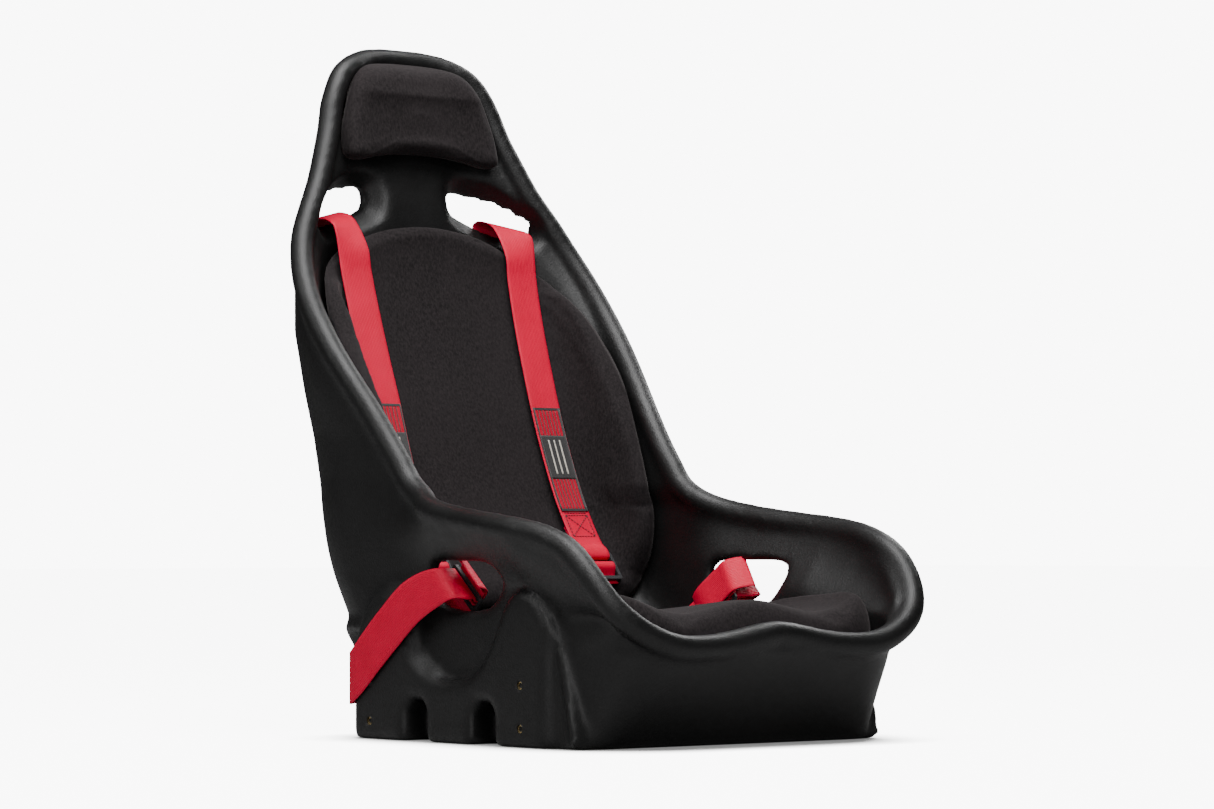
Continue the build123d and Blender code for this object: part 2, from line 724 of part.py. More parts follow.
with BuildPart() as anchor_bolts:
    for plane in ANCHORS:
        with BuildSketch(plane.offset(HEAD_LIFT)):
            Circle(HEAD_RADIUS)
        extrude(amount=HEAD_HEIGHT)
        with BuildSketch(plane.offset(HEAD_LIFT + HEAD_HEIGHT)):
            RegularPolygon(radius=SOCKET_RADIUS, side_count=6)
        extrude(amount=-SOCKET_DEPTH, mode=Mode.SUBTRACT)
        with BuildSketch(plane.offset(HEAD_LIFT)):
            Circle(M8_MINOR - FIT / 2)
        extrude(amount=-(HEAD_LIFT + BOLT_REACH))
anchor_bolts.part.label = "anchor_bolts"

# ---------------------------------------------------------------- files
os.makedirs("parts", exist_ok=True)
finished = [seat_shell.part, vent_plug.part, anchor_inserts.part, anchor_plates.part, anchor_washers.part,
            anchor_bolts.part]
finished += [group.part for group in side_inserts]
finished += headrest + back_rest + seat_cushion + shoulder_parts + lap_parts
for piece in finished:
    export_step(piece, "parts/" + piece.label + ".step")
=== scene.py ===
import json
import math

import bmesh
import bpy
import numpy as np
import openvdb
from mathutils import Matrix, Vector


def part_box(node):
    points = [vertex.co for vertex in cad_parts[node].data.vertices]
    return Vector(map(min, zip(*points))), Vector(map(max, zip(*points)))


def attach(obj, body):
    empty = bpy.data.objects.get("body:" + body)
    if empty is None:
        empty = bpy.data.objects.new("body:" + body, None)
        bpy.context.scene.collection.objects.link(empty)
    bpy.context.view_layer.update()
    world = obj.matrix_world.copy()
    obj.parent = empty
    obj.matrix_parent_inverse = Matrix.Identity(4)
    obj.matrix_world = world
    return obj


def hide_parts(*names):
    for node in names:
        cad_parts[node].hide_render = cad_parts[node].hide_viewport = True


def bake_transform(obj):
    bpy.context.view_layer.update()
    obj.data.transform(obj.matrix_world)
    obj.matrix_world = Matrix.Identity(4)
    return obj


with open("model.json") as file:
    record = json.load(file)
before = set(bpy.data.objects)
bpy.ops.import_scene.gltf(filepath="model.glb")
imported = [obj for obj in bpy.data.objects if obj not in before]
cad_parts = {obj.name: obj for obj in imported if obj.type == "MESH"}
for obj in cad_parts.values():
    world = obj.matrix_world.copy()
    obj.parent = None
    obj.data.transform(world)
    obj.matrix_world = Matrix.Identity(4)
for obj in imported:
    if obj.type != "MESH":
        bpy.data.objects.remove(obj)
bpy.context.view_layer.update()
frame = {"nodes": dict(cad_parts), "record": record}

# Fixed-back bucket racing seat. Outlines are in millimetres in the seat's own frame: +Z up, the occupant
# faces -Y, X = 0 is the symmetry plane. Meshes are scaled to metres as they are made.
MM = 0.001

# ---------------- driving dimensions
BASE_X = 245                     # outer face of the mounting flanges
WALL_X = 227                     # side wall between and above the flanges
BASE_FRONT = -294
NOSE_Y, NOSE_Z = -382, 122       # where the sloping front ends under the rim
CORNER_Y = 133                   # rear edge of the flanges
CORNER_X = 205
CORNER_TOP = 128
TUBE_RADIUS = 15                 # rolled rim round the whole opening
CELL = 4.9                       # spacing of the grid that the shell's surface is drawn on

REAR_LINE = [(134, -40), (134, 0), (140, 35), (205, 130), (256, 216), (292, 328), (322, 468), (350, 600),
             (366, 700), (376, 800), (382, 866), (386, 930)]
SPINE_LINE = [(-360, 92), (-170, 86), (-30, 91), (60, 115), (130, 165), (200, 262), (259, 405),
              (312, 570), (321, 630), (325, 672), (334, 715), (346, 775), (353, 862), (358, 940)]
RIM_TUBE = [(0, 367, 865), (53, 361, 862), (86, 351, 851), (105, 346, 838), (117, 341, 821), (129, 336, 796),
            (138, 329, 767), (152, 319, 734), (172, 306, 691), (196, 292, 652), (211, 283, 625),
            (222, 271, 600), (232, 253, 569), (238, 231, 535), (239, 205, 500), (236, 176, 462),
            (230, 148, 427), (224, 121, 394), (220, 95, 361), (218, 70, 331), (218, 53, 310), (222, 22, 291),
            (235, -5, 280), (245, -42, 272), (250, -83, 266), (259, -146, 259), (261, -200, 253),
            (257, -242, 246), (255, -266, 239), (253, -288, 230), (252, -308, 216), (249, -326, 197),
            (243, -340, 178), (234, -350, 162), (219, -358, 147), (197, -363, 133), (162, -367, 120),
            (120, -366, 117), (72, -364, 121), (27, -364, 129), (0, -364, 132)]
WALL_HALF = [(-30, WALL_X), (200, WALL_X), (240, 229), (285, 230), (318, 229), (370, 232), (427, 241),
             (500, 249), (571, 242), (603, 232), (654, 206), (694, 182), (737, 162), (770, 149),
             (800, 139), (827, 124), (851, 96), (868, 62), (876, 20), (877, 0), (930, 0)]
FLARE_REACH = ([-330, -180], [150, 75])   # along y, how far below the rim the walls start to flare out
CAVITY_HALF = [(-30, 182), (60, 192), (110, 205), (150, 209), (200, 213), (285, 213), (309, 205), (340, 207),
               (385, 212), (427, 218), (500, 226), (571, 219), (603, 207), (654, 183), (694, 159), (737, 139),
               (770, 125), (797, 115), (820, 105), (840, 89), (855, 55), (860, 0), (930, 0)]
CAVITY_PLAN = [(0, 420), (60, 420), (96, 372), (120, 352), (144, 332), (167, 314), (190, 296), (214, 270),
               (238, 236), (262, 190), (262, -250), (243, -300), (228, -330), (200, -348), (150, -354),
               (0, -354)]
SHOULDER_SLOT = [(70, 694), (68, 682), (71, 669), (84, 662), (110, 652), (140, 643), (158, 640), (169, 645),
                 (167, 656), (149, 672), (126, 685), (98, 692), (80, 696)]
SLOT_BEVEL = 22                  # how far the slots' mouths widen towards the occupant
LAP_SLOT = [(-10, 208), (-8, 190), (-14, 172), (-28, 164), (-104, 163), (-127, 180), (-135, 198),
            (-126, 209), (-70, 212)]
FLANGE = [(CORNER_Y, -30), (CORNER_Y, 104), (129, 124), (118, 148), (100, 167), (78, 178), (54, 178),
          (37, 169), (29, 152), (29, 132), (16, 100), (-3, 85), (-30, 76), (-52, 74), (-81, 77),
          (-101, 84), (-117, 96), (-129, 112), (-141, 132), (-152, 153), (-162, 170), (-176, 180),
          (-191, 183), (-206, 180), (-220, 172), (-234, 158), (-251, 128), (-264, 98), (-276, 62),
          (-285, 28), (-289, 0), (-290, -30)]
CHANNEL = [(-239, -30), (-239, 108), (-243, 126), (-249, 118), (-259, 86), (-268, 52), (-276, 14),
           (-280, -30)]
NOTCHES = ((-141, -100), (-11, 30))
NOTCH_TOP = 50
BOLT_SPACING = (290, 50)         # of the side inserts, along Y and Z
BOLT_MIDDLE = (-48, 47)
INSERT_MOUTH = 5                 # radius of the holes in front of the inserts
INSERT_GAP = 1.5                 # how far a hole goes past its insert's outer end
INSERT_YZ = [(BOLT_MIDDLE[0] + i * BOLT_SPACING[0] / 2, BOLT_MIDDLE[1] + j * BOLT_SPACING[1] / 2)
             for i in (-1, 1) for j in (-1, 1)]
# rounding of the shell's long edges, each with the heights at which it holds
REAR_ROUND = ([8, 60, 85, 85, 112, 150, 90], [112, 135, 147, 200, 300, 600, 850])
NOSE_ROUND = ([36, 70, 95, 50, 30], [0, 60, 110, 150, 190])
CAVITY_ROUND = ([45, 60, 110, 130, 110, 80, 60], [150, 200, 350, 500, 600, 700, 850])


# ---------------- curves and distance fields
def smooth_curve(points, steps=6, closed=False):
    """Points along a centripetal Catmull-Rom curve through the given points."""
    p = np.array(points, float)
    if closed:
        p = np.vstack([p[-1], p, p[0], p[1]])
    else:
        p = np.vstack([2 * p[0] - p[1], p, 2 * p[-1] - p[-2]])
    gaps = np.sqrt(np.linalg.norm(np.diff(p, axis=0), axis=1))
    found = []
    for i in range(1, len(p) - 2):
        t = np.cumsum([0, gaps[i - 1], gaps[i], gaps[i + 1]])
        for s in np.linspace(t[1], t[2], steps, endpoint=False):
            level = list(p[i - 1:i + 3])
            for width in (1, 2, 3):
                level = [((t[j + width] - s) * level[j] + (s - t[j]) * level[j + 1]) / (t[j + width] - t[j])
                         for j in range(4 - width)]
            found.append(level[0])
    if not closed:
        found.append(p[-2])
    return np.array(found)


def outline_distance(points, u, v):
    """Signed distance on a grid of (u, v) to a closed outline, negative inside it."""
    pu, pv = np.meshgrid(u, v, indexing="ij")
    nearest = np.full(pu.shape, 1e9)
    inside = np.zeros(pu.shape, bool)
    points = np.asarray(points, float)
    for (u0, v0), (u1, v1) in zip(points, np.roll(points, -1, axis=0)):
        du, dv = u1 - u0, v1 - v0
        length = du * du + dv * dv
        if length == 0:
            continue
        along = np.clip(((pu - u0) * du + (pv - v0) * dv) / length, 0, 1)
        nearest = np.minimum(nearest, (pu - u0 - along * du) ** 2 + (pv - v0 - along * dv) ** 2)
        if dv:
            inside ^= ((v0 > pv) != (v1 > pv)) & (pu < u0 + (pv - v0) * du / dv)
    return (np.where(inside, -1, 1) * np.sqrt(nearest)).astype(np.float32)


def soft_max(a, b, k):
    """Larger of two fields, with the crease between them rounded over about k."""
    mix = np.clip(0.5 + 0.5 * (a - b) / k, 0, 1)
    return b + (a - b) * mix + k * mix * (1 - mix)


def soft_min(a, b, k):
    return -soft_max(-a, -b, k)


def both_sides(points):
    """A closed outline from its +X half."""
    return list(points) + [(-x, z) for x, z in points[::-1] if x > 0]


def add_object(name, data):
    obj = bpy.data.objects.new(name, data)
    bpy.context.scene.collection.objects.link(obj)
    return obj


# ---------------- shell
gx = np.arange(0, 290, CELL, dtype=np.float32)
gy = np.arange(-402, 402, CELL, dtype=np.float32)
gz = np.arange(-18, 900, CELL, dtype=np.float32)
X, Y, Z = gx[:, None, None], gy[None, :, None], gz[None, None, :]


def in_side(points):
    return outline_distance(points, gy, gz)[None]


def in_front(points):
    return outline_distance(points, gx, gz)[:, None]


def in_plan(points):
    return outline_distance(points, gx, gy)[:, :, None]


def ramp(values, heights):
    return np.interp(gz, heights, values).astype(np.float32)[None, None]


def tube_distance(centres, near):
    """Distance to a line of points, worked out only where the mask is true."""
    field = np.full((len(gx), len(gy), len(gz)), 60, np.float32)
    mask = np.broadcast_to(near, field.shape)
    ix, iy, iz = np.nonzero(mask)
    px, py, pz = gx[ix], gy[iy], gz[iz]
    best = np.full(len(ix), 1e9, np.float32)
    for a, b in zip(centres, centres[1:]):
        d = b - a
        along = ((px - a[0]) * d[0] + (py - a[1]) * d[1] + (pz - a[2]) * d[2]) / (d @ d)
        along = np.clip(along, 0, 1)
        gap = (px - a[0] - along * d[0]) ** 2 + (py - a[1] - along * d[1]) ** 2
        best = np.minimum(best, gap + (pz - a[2] - along * d[2]) ** 2)
    field[ix, iy, iz] = np.sqrt(best)
    return field


def side_width(tube, half_widths, lead):
    """Half-width over the side view: a plain wall that flares out to a place beside the rim tube."""
    pu, pv = np.meshgrid(gy, gz, indexing="ij")
    gap = np.full(pu.shape, 1e9)
    total = np.zeros(pu.shape)
    reach = np.zeros(pu.shape)
    for x, y, z in tube:
        near = np.hypot(pu - y, pv - z)
        gap = np.minimum(gap, near)
        total += (near + 4) ** -6
        reach += x * (near + 4) ** -6
    reach /= total
    wall = np.interp(pv, *zip(*half_widths))
    rise = np.clip(1 - (gap - 6) / np.interp(pu, *FLARE_REACH), 0, 1)
    flare = np.maximum(reach + lead - wall, 0) * rise ** 2 * (3 - 2 * rise)
    return (wall + flare).astype(np.float32)[None]


def wall_distance(tube, half_widths, lead):
    """Distance outside the side walls; above the shoulders it follows the front view's outline."""
    outline = in_front(both_sides([(x, z) for z, x in half_widths]))
    return np.where(Z > 640, outline, X - side_width(tube, half_widths, lead))


def shell_field():
    """Distance-like field of the moulded shell, negative in the plastic, for x >= 0."""
    rear = smooth_curve(REAR_LINE)
    behind = in_side(list(rear) + [(-900, 930), (-900, -40)])
    tube = smooth_curve(RIM_TUBE, 4)
    rim = [(y, z) for _, y, z in tube if z > 145]
    lip = [(-352, 128), (-362, 119), (-420, 116), (-420, -60), (900, -60), (900, 865), (368, 865)]
    under_rim = in_side(rim + lip) + 3
    slope = (BASE_FRONT - NOSE_Y) / NOSE_Z
    apron = ((BASE_FRONT - slope * Z) - Y) / math.hypot(1, slope)
    width = wall_distance(tube, WALL_HALF, 10)
    body = soft_max(behind, width, ramp(*REAR_ROUND))
    body = soft_max(body, apron, ramp(*NOSE_ROUND))
    corner = soft_max(CORNER_X - X, CORNER_Y - Y, 10)
    corner = soft_max(corner, Z - CORNER_TOP, 16)
    body = soft_max(body, -corner, 8)
    body = soft_max(body, under_rim, 10)

    flange = soft_max(in_side(FLANGE), X - BASE_X, 12)
    step = soft_max(in_side(FLANGE) - 8, X - (BASE_X - 9), 9)
    step = soft_max(step, -40 - Y, 30)
    body = soft_min(body, soft_max(flange, 180 - X, 1), 5)
    body = soft_min(body, soft_max(step, 180 - X, 1), 4)
    channel = soft_max(in_side(CHANNEL), (WALL_X + 5) - X, 16)
    body = soft_max(body, -channel, 14)

    spine = smooth_curve(SPINE_LINE)
    opening = in_side(list(spine) + [(-900, 940), (-900, 92)])
    cavity = soft_max(opening, wall_distance(tube, CAVITY_HALF, -12), ramp(*CAVITY_ROUND))
    cavity = soft_max(cavity, in_plan(both_sides(CAVITY_PLAN)), 30)
    solid = soft_max(body, -cavity, 12)

    near = (np.abs(in_side(rim + lip)) < 40) & (X < 290)
    rim_tube = tube_distance(tube, near) - TUBE_RADIUS
    solid = soft_min(solid, rim_tube, 5)

    slot = in_front(smooth_curve(SHOULDER_SLOT, closed=True))
    funnel = slot - np.clip(SLOT_BEVEL - cavity, 0, SLOT_BEVEL)
    solid = soft_max(solid, -funnel, 4)
    side_hole = soft_max(in_side(smooth_curve(LAP_SLOT, closed=True)), 170 - X, 4)
    solid = soft_max(solid, -side_hole, 15)
    for low, high in NOTCHES:
        arch = [(low, -40), (low, NOTCH_TOP - 12), (low + 10, NOTCH_TOP), (high - 10, NOTCH_TOP),
                (high, NOTCH_TOP - 12), (high, -40)]
        notch = soft_max(in_side(arch), CORNER_X - X, 8)
        solid = soft_max(solid, -notch, 11)
    return soft_max(solid, -Z, 7), cavity, body


def shell_mesh(name, field):
    """Quad mesh of the whole shell at the field's zero level, shaded smooth."""
    whole = np.concatenate([field[:0:-1], field])
    grid = openvdb.FloatGrid(30.0)
    grid.copyFromArray(np.clip(whole, -30, 30).astype(np.float32))
    points, quads = grid.convertToQuads(0.0)
    origin = np.array([-gx[-1], gy[0], gz[0]])
    place = points * CELL + origin
    mesh = bpy.data.meshes.new(name)
    mesh.from_pydata((place * MM).tolist(), [], quads[:, ::-1].tolist())
    mesh.shade_smooth()
    return mesh


def drill(obj, places, radius, depth):
    """Smooth an object and cut round holes into it; each place is a point and its axis' direction."""
    cutters = bmesh.new()
    for point, axis in places:
        turn = Vector((0, 0, 1)).rotation_difference(Vector(axis)).to_matrix().to_4x4()
        bmesh.ops.create_cone(cutters, cap_ends=True, segments=28, radius1=radius * MM, radius2=radius * MM,
                              depth=2 * depth * MM, matrix=Matrix.Translation(Vector(point) * MM) @ turn)
    mesh = bpy.data.meshes.new("drills")
    cutters.to_mesh(mesh)
    cutters.free()
    tool = add_object("drills", mesh)
    soften = obj.modifiers.new("soften", "SMOOTH")
    soften.factor, soften.iterations = 0.5, 4
    cut = obj.modifiers.new("holes", "BOOLEAN")
    cut.operation, cut.solver, cut.object = "DIFFERENCE", "FAST", tool
    drilled = obj.evaluated_get(bpy.context.evaluated_depsgraph_get())
    final = bpy.data.meshes.new_from_object(drilled)
    obj.modifiers.clear()
    obj.data = final
    final.shade_smooth()
    bpy.data.objects.remove(tool)


shell, cavity, body = shell_field()
seat_shell = add_object("seat_shell_moulding", shell_mesh("seat_shell_moulding", shell))
insert_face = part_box("side_inserts_left")[1][0] / MM
mouths = [((side * BASE_X, *centre), (1, 0, 0)) for side in (-1, 1) for centre in INSERT_YZ]
drill(seat_shell, mouths, INSERT_MOUTH, BASE_X - insert_face + INSERT_GAP)
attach(seat_shell, "frame")
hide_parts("seat_shell")


# ---------------- finding the shell's surfaces
def last_crossing(field, axis_values):
    """Place of the last change from negative to positive along the field's last axis."""
    void = field < 0
    last = field.shape[-1] - 2 - np.argmax(void[..., -2::-1], axis=-1)
    a = np.take_along_axis(field, last[..., None], -1)[..., 0]
    b = np.take_along_axis(field, last[..., None] + 1, -1)[..., 0]
    share = np.clip(a / np.where(a == b, 1, a - b), 0, 1)
    return axis_values[last] + share * CELL


def sample(table, u_axis, v_axis, u, v):
    """Bilinear value of a table at (u, v); u is taken as a distance from the symmetry plane."""
    u, v = np.asarray(u, float), np.asarray(v, float)
    iu = np.clip((np.abs(u) - u_axis[0]) / CELL, 0, len(u_axis) - 1.001)
    iv = np.clip((v - v_axis[0]) / CELL, 0, len(v_axis) - 1.001)
    a, b = iu.astype(int), iv.astype(int)
    fa, fb = iu - a, iv - b
    low = table[a, b] * (1 - fa) + table[a + 1, b] * fa
    high = table[a, b + 1] * (1 - fa) + table[a + 1, b + 1] * fa
    return low * (1 - fb) + high * fb


back_map = last_crossing(np.moveaxis(cavity, 1, 2), gy)
rear_map = last_crossing(np.moveaxis(body, 1, 2), gy)
floor_map = last_crossing(cavity[:, :, ::-1], -gz[::-1])
SPINE_CURVE = smooth_curve(SPINE_LINE)
LOWEST = int(np.argmin(SPINE_CURVE[:, 1]))


def back_y(x, z):
    return sample(back_map, gx, gz, x, z)


def rear_y(x, z):
    return sample(rear_map, gx, gz, x, z)


def floor_z(x, y):
    return -sample(floor_map, gx, gy, x, y)


def probe(field, points):
    """Trilinear value of a field at points, which may be on either side of the symmetry plane."""
    spots = (points - [gx[0], gy[0], gz[0]]) / CELL
    spots[:, 0] = np.abs(points[:, 0]) / CELL
    spots = np.clip(spots, 0, np.array(field.shape) - 1.001)
    low = spots.astype(int)
    share = spots - low
    total = 0
    for corner in np.ndindex(2, 2, 2):
        weight = np.prod(np.where(corner, share, 1 - share), axis=1)
        total = total + weight * field[tuple((low + corner).T)]
    return total


def over_surface(points, lift):
    """Points moved until they lie inside the bucket at a height over its surface."""
    for _ in range(15):
        slope = np.stack([probe(cavity, points + step) - probe(cavity, points - step)
                          for step in np.eye(3) * CELL], 1) / (2 * CELL)
        steep = np.maximum((slope ** 2).sum(1), 0.25)
        move = np.clip((probe(cavity, points) + lift) / steep, -8, 8)
        points = points - slope * move[:, None]
    return points


# ---------------- pads
RINGS = np.concatenate([np.linspace(0.04, 0.84, 21),
                        [0.87, 0.9, 0.92, 0.94, 0.955, 0.97, 0.98, 0.99, 0.997, 1]])


def pad_mesh(name, outline, centre, place, inset=0):
    """Closed pad drawn in rings from its middle; place(points, back, inset) gives 3-D points in mm."""
    centre = np.array(centre)
    arms = np.linalg.norm(outline - centre, axis=1, keepdims=True)
    rim = centre + (outline - centre) * (1 - 1.6 * inset / arms)
    turns = len(rim)
    flat = np.vstack([centre] + [centre + (rim - centre) * ring for ring in RINGS])
    front, back = place(flat, False, inset), place(flat, True, inset)
    count = len(flat)
    faces = []
    for side, start in ((0, 0), (1, count)):
        for i in range(turns):
            j = (i + 1) % turns
            ring = (start, start + 1 + i, start + 1 + j)
            faces.append(ring if side else ring[::-1])
            for r in range(len(RINGS) - 1):
                a = start + 1 + r * turns
                quad = (a + i, a + turns + i, a + turns + j, a + j)
                faces.append(quad if side else quad[::-1])
    edge = 1 + (len(RINGS) - 1) * turns
    for i in range(turns):
        j = (i + 1) % turns
        faces.append((edge + i, edge + j, count + edge + j, count + edge + i))
    mesh = bpy.data.meshes.new(name)
    mesh.from_pydata((np.vstack([front, back]) * MM).tolist(), [], faces)
    return mesh, flat


def evenly(points, step):
    """Closed outline resampled at even steps."""
    points = np.vstack([points, points[:1]])
    run = np.concatenate([[0], np.cumsum(np.linalg.norm(np.diff(points, axis=0), axis=1))])
    places = np.linspace(0, run[-1], int(run[-1] / step), endpoint=False)
    return np.stack([np.interp(places, run, points[:, i]) for i in range(2)], 1)


def edge_gap(points, outline):
    """Distance of each point to a closed outline."""
    gap = np.full(len(points), 1e9)
    for a, b in zip(outline, np.roll(outline, -1, axis=0)):
        d = b - a
        along = np.clip(((points - a) @ d) / max(d @ d, 1e-9), 0, 1)
        gap = np.minimum(gap, np.linalg.norm(points - a - along[:, None] * d, axis=1))
    return gap


def rounded_edge(gap, radius, side):
    """Share of a pad's full height at a distance in from its edge, with a rounded shoulder."""
    rise = 1 - np.clip(gap / radius, 0, 1)
    return side + (1 - side) * np.sqrt(np.clip(1 - rise ** 2.2, 0, 1))


def inflate(obj, cap):
    """Swell a pad with a short cloth simulation; no point moves further than cap millimetres."""
    scene = bpy.context.scene
    rest = np.array([v.co for v in obj.data.vertices])
    cloth = obj.modifiers.new("swell", "CLOTH")
    cloth.settings.quality = 5
    cloth.settings.mass = 0.3
    cloth.settings.tension_stiffness = 25
    cloth.settings.compression_stiffness = 12
    cloth.settings.bending_stiffness = 4
    cloth.settings.use_pressure = True
    cloth.settings.uniform_pressure_force = 4
    cloth.settings.effector_weights.gravity = 0
    cloth.point_cache.frame_start = 1
    cloth.point_cache.frame_end = 20
    for number in range(1, 21):
        scene.frame_set(number)
    shape = obj.evaluated_get(bpy.context.evaluated_depsgraph_get())
    swollen = np.array([v.co for v in shape.data.vertices])
    obj.modifiers.remove(cloth)
    scene.frame_set(1)
    move = swollen - rest
    length = np.linalg.norm(move, axis=1, keepdims=True)
    limit = cap * MM
    move *= limit * np.tanh(length / limit) / np.maximum(length, 1e-9)
    for vertex, place in zip(obj.data.vertices, rest + move):
        vertex.co = place


def sew(obj, gap, seams, depth=1.0, width=2.2):
    """Press seam lines into a finished pad's face at given distances inside its outline."""
    count = len(gap)
    dent = sum((np.exp(-((gap - seam) / width) ** 2) for seam in seams), np.zeros(count)) * depth * MM
    face = obj.data.vertices[:count]
    places = [vertex.co - vertex.normal * amount for vertex, amount in zip(face, dent)]
    for vertex, place in zip(face, places):
        vertex.co = place


def fit_pad(name, outline, centre, place, cap, seams=()):
    """A pad's cover, swollen by cloth simulation and sewn, and the foam block inside it."""
    mesh, flat = pad_mesh(name + "_pad", outline, centre, place)
    cover = add_object(name + "_pad", mesh)
    inflate(cover, cap)
    sew(cover, edge_gap(flat, outline), seams)
    cover.data.shade_smooth()
    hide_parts(name + "_cover")
    block = add_object(name + "_block", pad_mesh(name + "_block", outline, centre, place, BLOCK_INSET)[0])
    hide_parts(name + "_foam")
    for piece, finish in ((cover, "pad_fabric"), (block, "foam")):
        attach(piece, "frame")
    foams.append(block)
    return cover


foams = []
PAD_GAP = 3                      # from a pad's back to the shell
HEAD_THICK, BACK_THICK = 31, 26
BLOCK_INSET = 6.5                # depth of the foam under the cover, more than the cover's swelling
STRAP_BED = 33                   # greatest height of the back pad's face where the straps lie on it
# half outlines of the pads, from the centre line round to the centre line
HEAD_HALF = [(0, 741), (40, 739), (80, 733), (108, 728), (119, 733), (121, 748), (118, 772), (110, 797),
             (102, 818), (92, 839), (78, 852), (56, 858), (20, 860), (0, 860)]
BACK_HALF = [(0, 150), (120, 152), (188, 166), (222, 192), (262, 228), (288, 270), (296, 318), (293, 375),
             (282, 430), (262, 484), (232, 535), (194, 574), (158, 598), (120, 616), (80, 629), (40, 638),
             (0, 641)]                 # measured along the curve of the bucket, not straight across
CUSHION_HALF = [(0, -347), (60, -347), (120, -345), (160, -341), (188, -328), (203, -305), (208, -270),
                (206, -220), (198, -170), (186, -120), (180, -80), (180, 30), (172, 56), (150, 64), (0, 66)]


def whole_outline(half, step):
    """Even outline of a pad from a half that runs from the centre line round to the centre line."""
    mirrored = [(-x, v) for x, v in half[::-1] if x > 0]
    return evenly(smooth_curve(half + mirrored, 8, closed=True), step)


head_outline = whole_outline(HEAD_HALF, 4)
back_outline = whole_outline(BACK_HALF, 4)
cushion_outline = whole_outline(CUSHION_HALF, 4)


def pad_lift(back, inset, thick, swell):
    """Height of a pad's back or face over the shell."""
    return PAD_GAP + inset + 0 * swell if back else PAD_GAP - inset + thick * swell


def head_place(flat, back, inset):
    x, z = flat.T
    surface = back_y(0 * x, np.minimum(z, 820)) + 0.3 * np.maximum(z - 820, 0) - 12 * (x / 120) ** 2
    swell = rounded_edge(edge_gap(flat, head_outline), 22, 0.3)
    lift = pad_lift(back, inset, HEAD_THICK, swell)
    return np.stack([x, surface - lift, z - 0.1 * lift], 1)


def back_place(flat, back, inset):
    """The back pad is laid out along the bucket's cross-section: back, rounded corner, side wall."""
    run, z = np.abs(flat[:, 0]), flat[:, 1]
    wall = np.interp(z, *zip(*CAVITY_HALF))
    bend = np.interp(z, [150, 300, 500], [60, 80, 120])
    start = wall - bend
    turn = np.clip((run - start) / bend, 0, math.pi / 2)
    ahead = np.maximum(run - start - bend * math.pi / 2, 0)
    x = np.minimum(run, start) + bend * np.sin(turn)
    y = np.interp(z, SPINE_CURVE[LOWEST:, 1], SPINE_CURVE[LOWEST:, 0]) - bend * (1 - np.cos(turn)) - ahead
    lift = pad_lift(back, inset, BACK_THICK, rounded_edge(edge_gap(flat, back_outline), 17, 0.3))
    points = over_surface(np.stack([x, y, z + 0.2 * lift], 1), lift)
    if not back:
        line = SPINE_CURVE[LOWEST:]
        along = np.gradient(line, axis=0)
        along /= np.linalg.norm(along, axis=1, keepdims=True)
        plane = line + np.stack([-along[:, 1], along[:, 0]], 1) * (STRAP_BED - 2 * inset)
        bed = np.interp(points[:, 2], plane[:, 1], plane[:, 0])
        hold = np.clip((188 - points[:, 0]) / 28, 0, 1)
        points[:, 1] += hold * np.maximum(bed - points[:, 1], 0)
    points[:, 0] *= np.where(flat[:, 0] < 0, -1, 1)
    return points


def cushion_place(flat, back, inset):
    x, y = flat.T
    bottom = floor_z(x, y) + 4 + inset
    if back:
        return np.stack([x, y, bottom], 1)
    across = np.abs(x)
    front = np.clip((-150 - y) / 150, 0, 1)
    crown = np.interp(y, [-347, -325, -290, -200, -60, 30, 66], [160, 165, 165, 160, 157, 155, 150])
    hump = 8 * np.exp(-(x / 48) ** 2) * front
    dip = -7 * np.exp(-((across - 102) / 38) ** 2) * (0.35 + 0.65 * front)
    wing = 15 * np.clip((across - 140) / 45, 0, 1) ** 1.5 * np.clip((-60 - y) / 120, 0, 1)
    top = crown + hump + dip + wing - 2 * inset
    height = bottom + (top - bottom) * rounded_edge(edge_gap(flat, cushion_outline), 26, 0.35)
    return np.stack([x, y, height], 1)


headrest = fit_pad("headrest", head_outline, (0, 797), head_place, 2.5)
back_pad = fit_pad("back_pad", back_outline, (0, 400), back_place, 3, (16, 22))
seat_pad = fit_pad("seat_cushion", cushion_outline, (0, -140), cushion_place, 3, (24,))


# ---------------- webbing
WEB_WIDTH = 48
WEB_THICK = 2
RIB_COUNT = 9
STEPS = 4                        # points of the smooth route for each point that is given


def run_length(points):
    return np.concatenate([[0], np.cumsum(np.linalg.norm(np.diff(points, axis=0), axis=1))])


